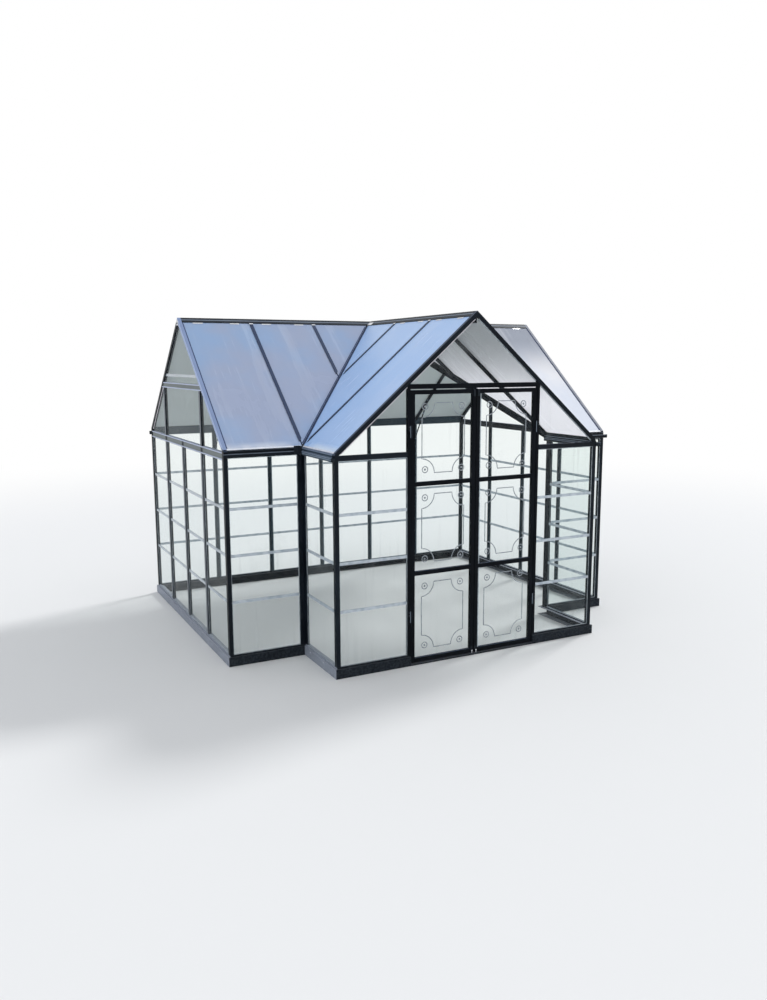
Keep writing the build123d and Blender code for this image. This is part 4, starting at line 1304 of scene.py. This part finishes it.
def addLatches(door):
    # a turning latch at the head of the leaf and a bolt at its foot, by the free edge
    x = door.free + door.hand * floorBolt["fromEdge"]
    face = leafFace - bead["gap"]
    head = Vector((x, face, door.high.z - latch["tall"] / 2 - latch["below"]))
    foot = Vector((x, face, door.low.z + floorBolt["lift"]))
    radius = boltOutline[1][0]
    rod = Vector((x, face - floorBolt["thick"] - radius, door.low.z - floorBolt["below"]))
    mesh = bmesh.new()
    plate(mesh, head, alongX, upAxis, outFront, latch["wide"], latch["tall"], latch["thick"])
    plate(mesh, foot, alongX, upAxis, outFront, latch["wide"], floorBolt["tall"], floorBolt["thick"])
    addPiece(door.side + "DoorLatches", mesh, "blackPlastic", body=door.body, bevel=0.001)
    bright = bmesh.new()
    lathe(bright, boltOutline, rod, upAxis, 16)
    addPiece(door.side + "DoorBolts", bright, "brightSteel", body=door.body, smooth=True)


def addHingeScrews(doors):
    # two screws in each hinge flap on the posts
    mesh = bmesh.new()
    for door in doors:
        for middle in (door.low.z + hinge["low"], door.high.z - hinge["high"]):
            for lift in hinge["screwLifts"]:
                x = door.hand * (hinge["x"] + hinge["screwAside"])
                seat = Vector((x, leafFace - hinge["flapOut"], middle + lift))
                screw(mesh, seat, outFront, hinge["screwRadius"])
    addPiece("hingeScrews", mesh, "darkSteel")


doors = [Leaf("left"), Leaf("right")]
for dress in (addScrollwork, addDoorSeals):
    for door in doors:
        dress(door)
addGripStrip(doors[1])  # the right leaf alone has one
for door in doors:
    addLatches(door)
addHingeScrews(doors)
print("doors dressed")


# camera at the photo's place
view = {
    "place": (-3.6303, -7.1206, 2.3088),
    "yaw": 26.956,
    "pitch": -9.086,
    "roll": -0.22,
    "lens": 30.954,
}


def addCamera():
    data = bpy.data.cameras.new("camera")
    data.sensor_width = 36
    data.lens = view["lens"]
    camera = bpy.data.objects.new("camera", data)
    camera.location = view["place"]
    aim = Euler((pi / 2 + radians(view["pitch"]), 0, -radians(view["yaw"]))).to_matrix()
    camera.rotation_euler = (aim @ Matrix.Rotation(radians(view["roll"]), 3, "Z")).to_euler()
    scene.collection.objects.link(camera)
    scene.camera = camera


# floor and light
studio = {
    "floor": (0.80, 0.80, 0.80),
    "floorRadius": 45,
    "floorDrop": 0.0005,
    "fadeFrom": 5.0,
    "fadeTo": 14.0,
    "sky": (0.93, 0.96, 1.0),
    "worldLight": 0.74,
    "keyStrength": 1.5,
    "keyAngle": 12,
    "keyTurn": (48, 0, 110),
    "fillStrength": 0.30,
    "fillAngle": 70,
    "fillTurn": (55, 0, -50),
}


seenRays = ("Is Camera Ray", "Is Glossy Ray", "Is Transmission Ray")


def seen(recipe):
    # 1 for rays that show the background: straight, mirrored or through glass
    path = recipe.node("LightPath").socket.node
    camera, glossy, glass = (Value(recipe, path.outputs[name]) for name in seenRays)
    return camera.maths("MAXIMUM", glossy).maths("MAXIMUM", glass)


def addFloor():
    mesh = bmesh.new()
    bmesh.ops.create_circle(mesh, cap_ends=True, segments=96, radius=studio["floorRadius"])
    data = bpy.data.meshes.new("floor")
    mesh.to_mesh(data)
    mesh.free()
    floor = bpy.data.objects.new("floor", data)
    scene.collection.objects.link(floor)
    floor.location.z = -studio["floorDrop"]
    material, recipe = newMaterial("floor")
    distance = recipe.node("VectorMath", {"operation": "LENGTH"}, {0: recipe.place()}, "Value")
    plain = recipe.node("BsdfPrincipled", None, {"Base Color": (*studio["floor"], 1), "Roughness": 0.85})
    glow = recipe.node("Emission", None, {"Color": (1, 1, 1, 1), "Strength": 1.0})
    far = distance.within(studio["fadeFrom"], studio["fadeTo"]) * seen(recipe)
    recipe.finish(recipe.either(far, plain, glow))
    data.materials.append(material)


def addWorld():
    world = bpy.data.worlds.new("studio")
    world.use_nodes = True
    scene.world = world
    recipe = Recipe(world.node_tree)
    shown = recipe.node("Background", None, {"Color": (1, 1, 1, 1), "Strength": 1.0})
    lit = recipe.node("Background", None, {"Color": (*studio["sky"], 1), "Strength": studio["worldLight"]})
    recipe.finish(recipe.either(seen(recipe), lit, shown), "OutputWorld")


def addSun(name, strength, angle, turn):
    data = bpy.data.lights.new(name, "SUN")
    data.energy = strength
    data.angle = radians(angle)
    lamp = bpy.data.objects.new(name, data)
    lamp.rotation_euler = [radians(t) for t in turn]
    scene.collection.objects.link(lamp)


addCamera()
addFloor()
addWorld()
addSun("key", studio["keyStrength"], studio["keyAngle"], studio["keyTurn"])
addSun("fill", studio["fillStrength"], studio["fillAngle"], studio["fillTurn"])
print("stage and light made")
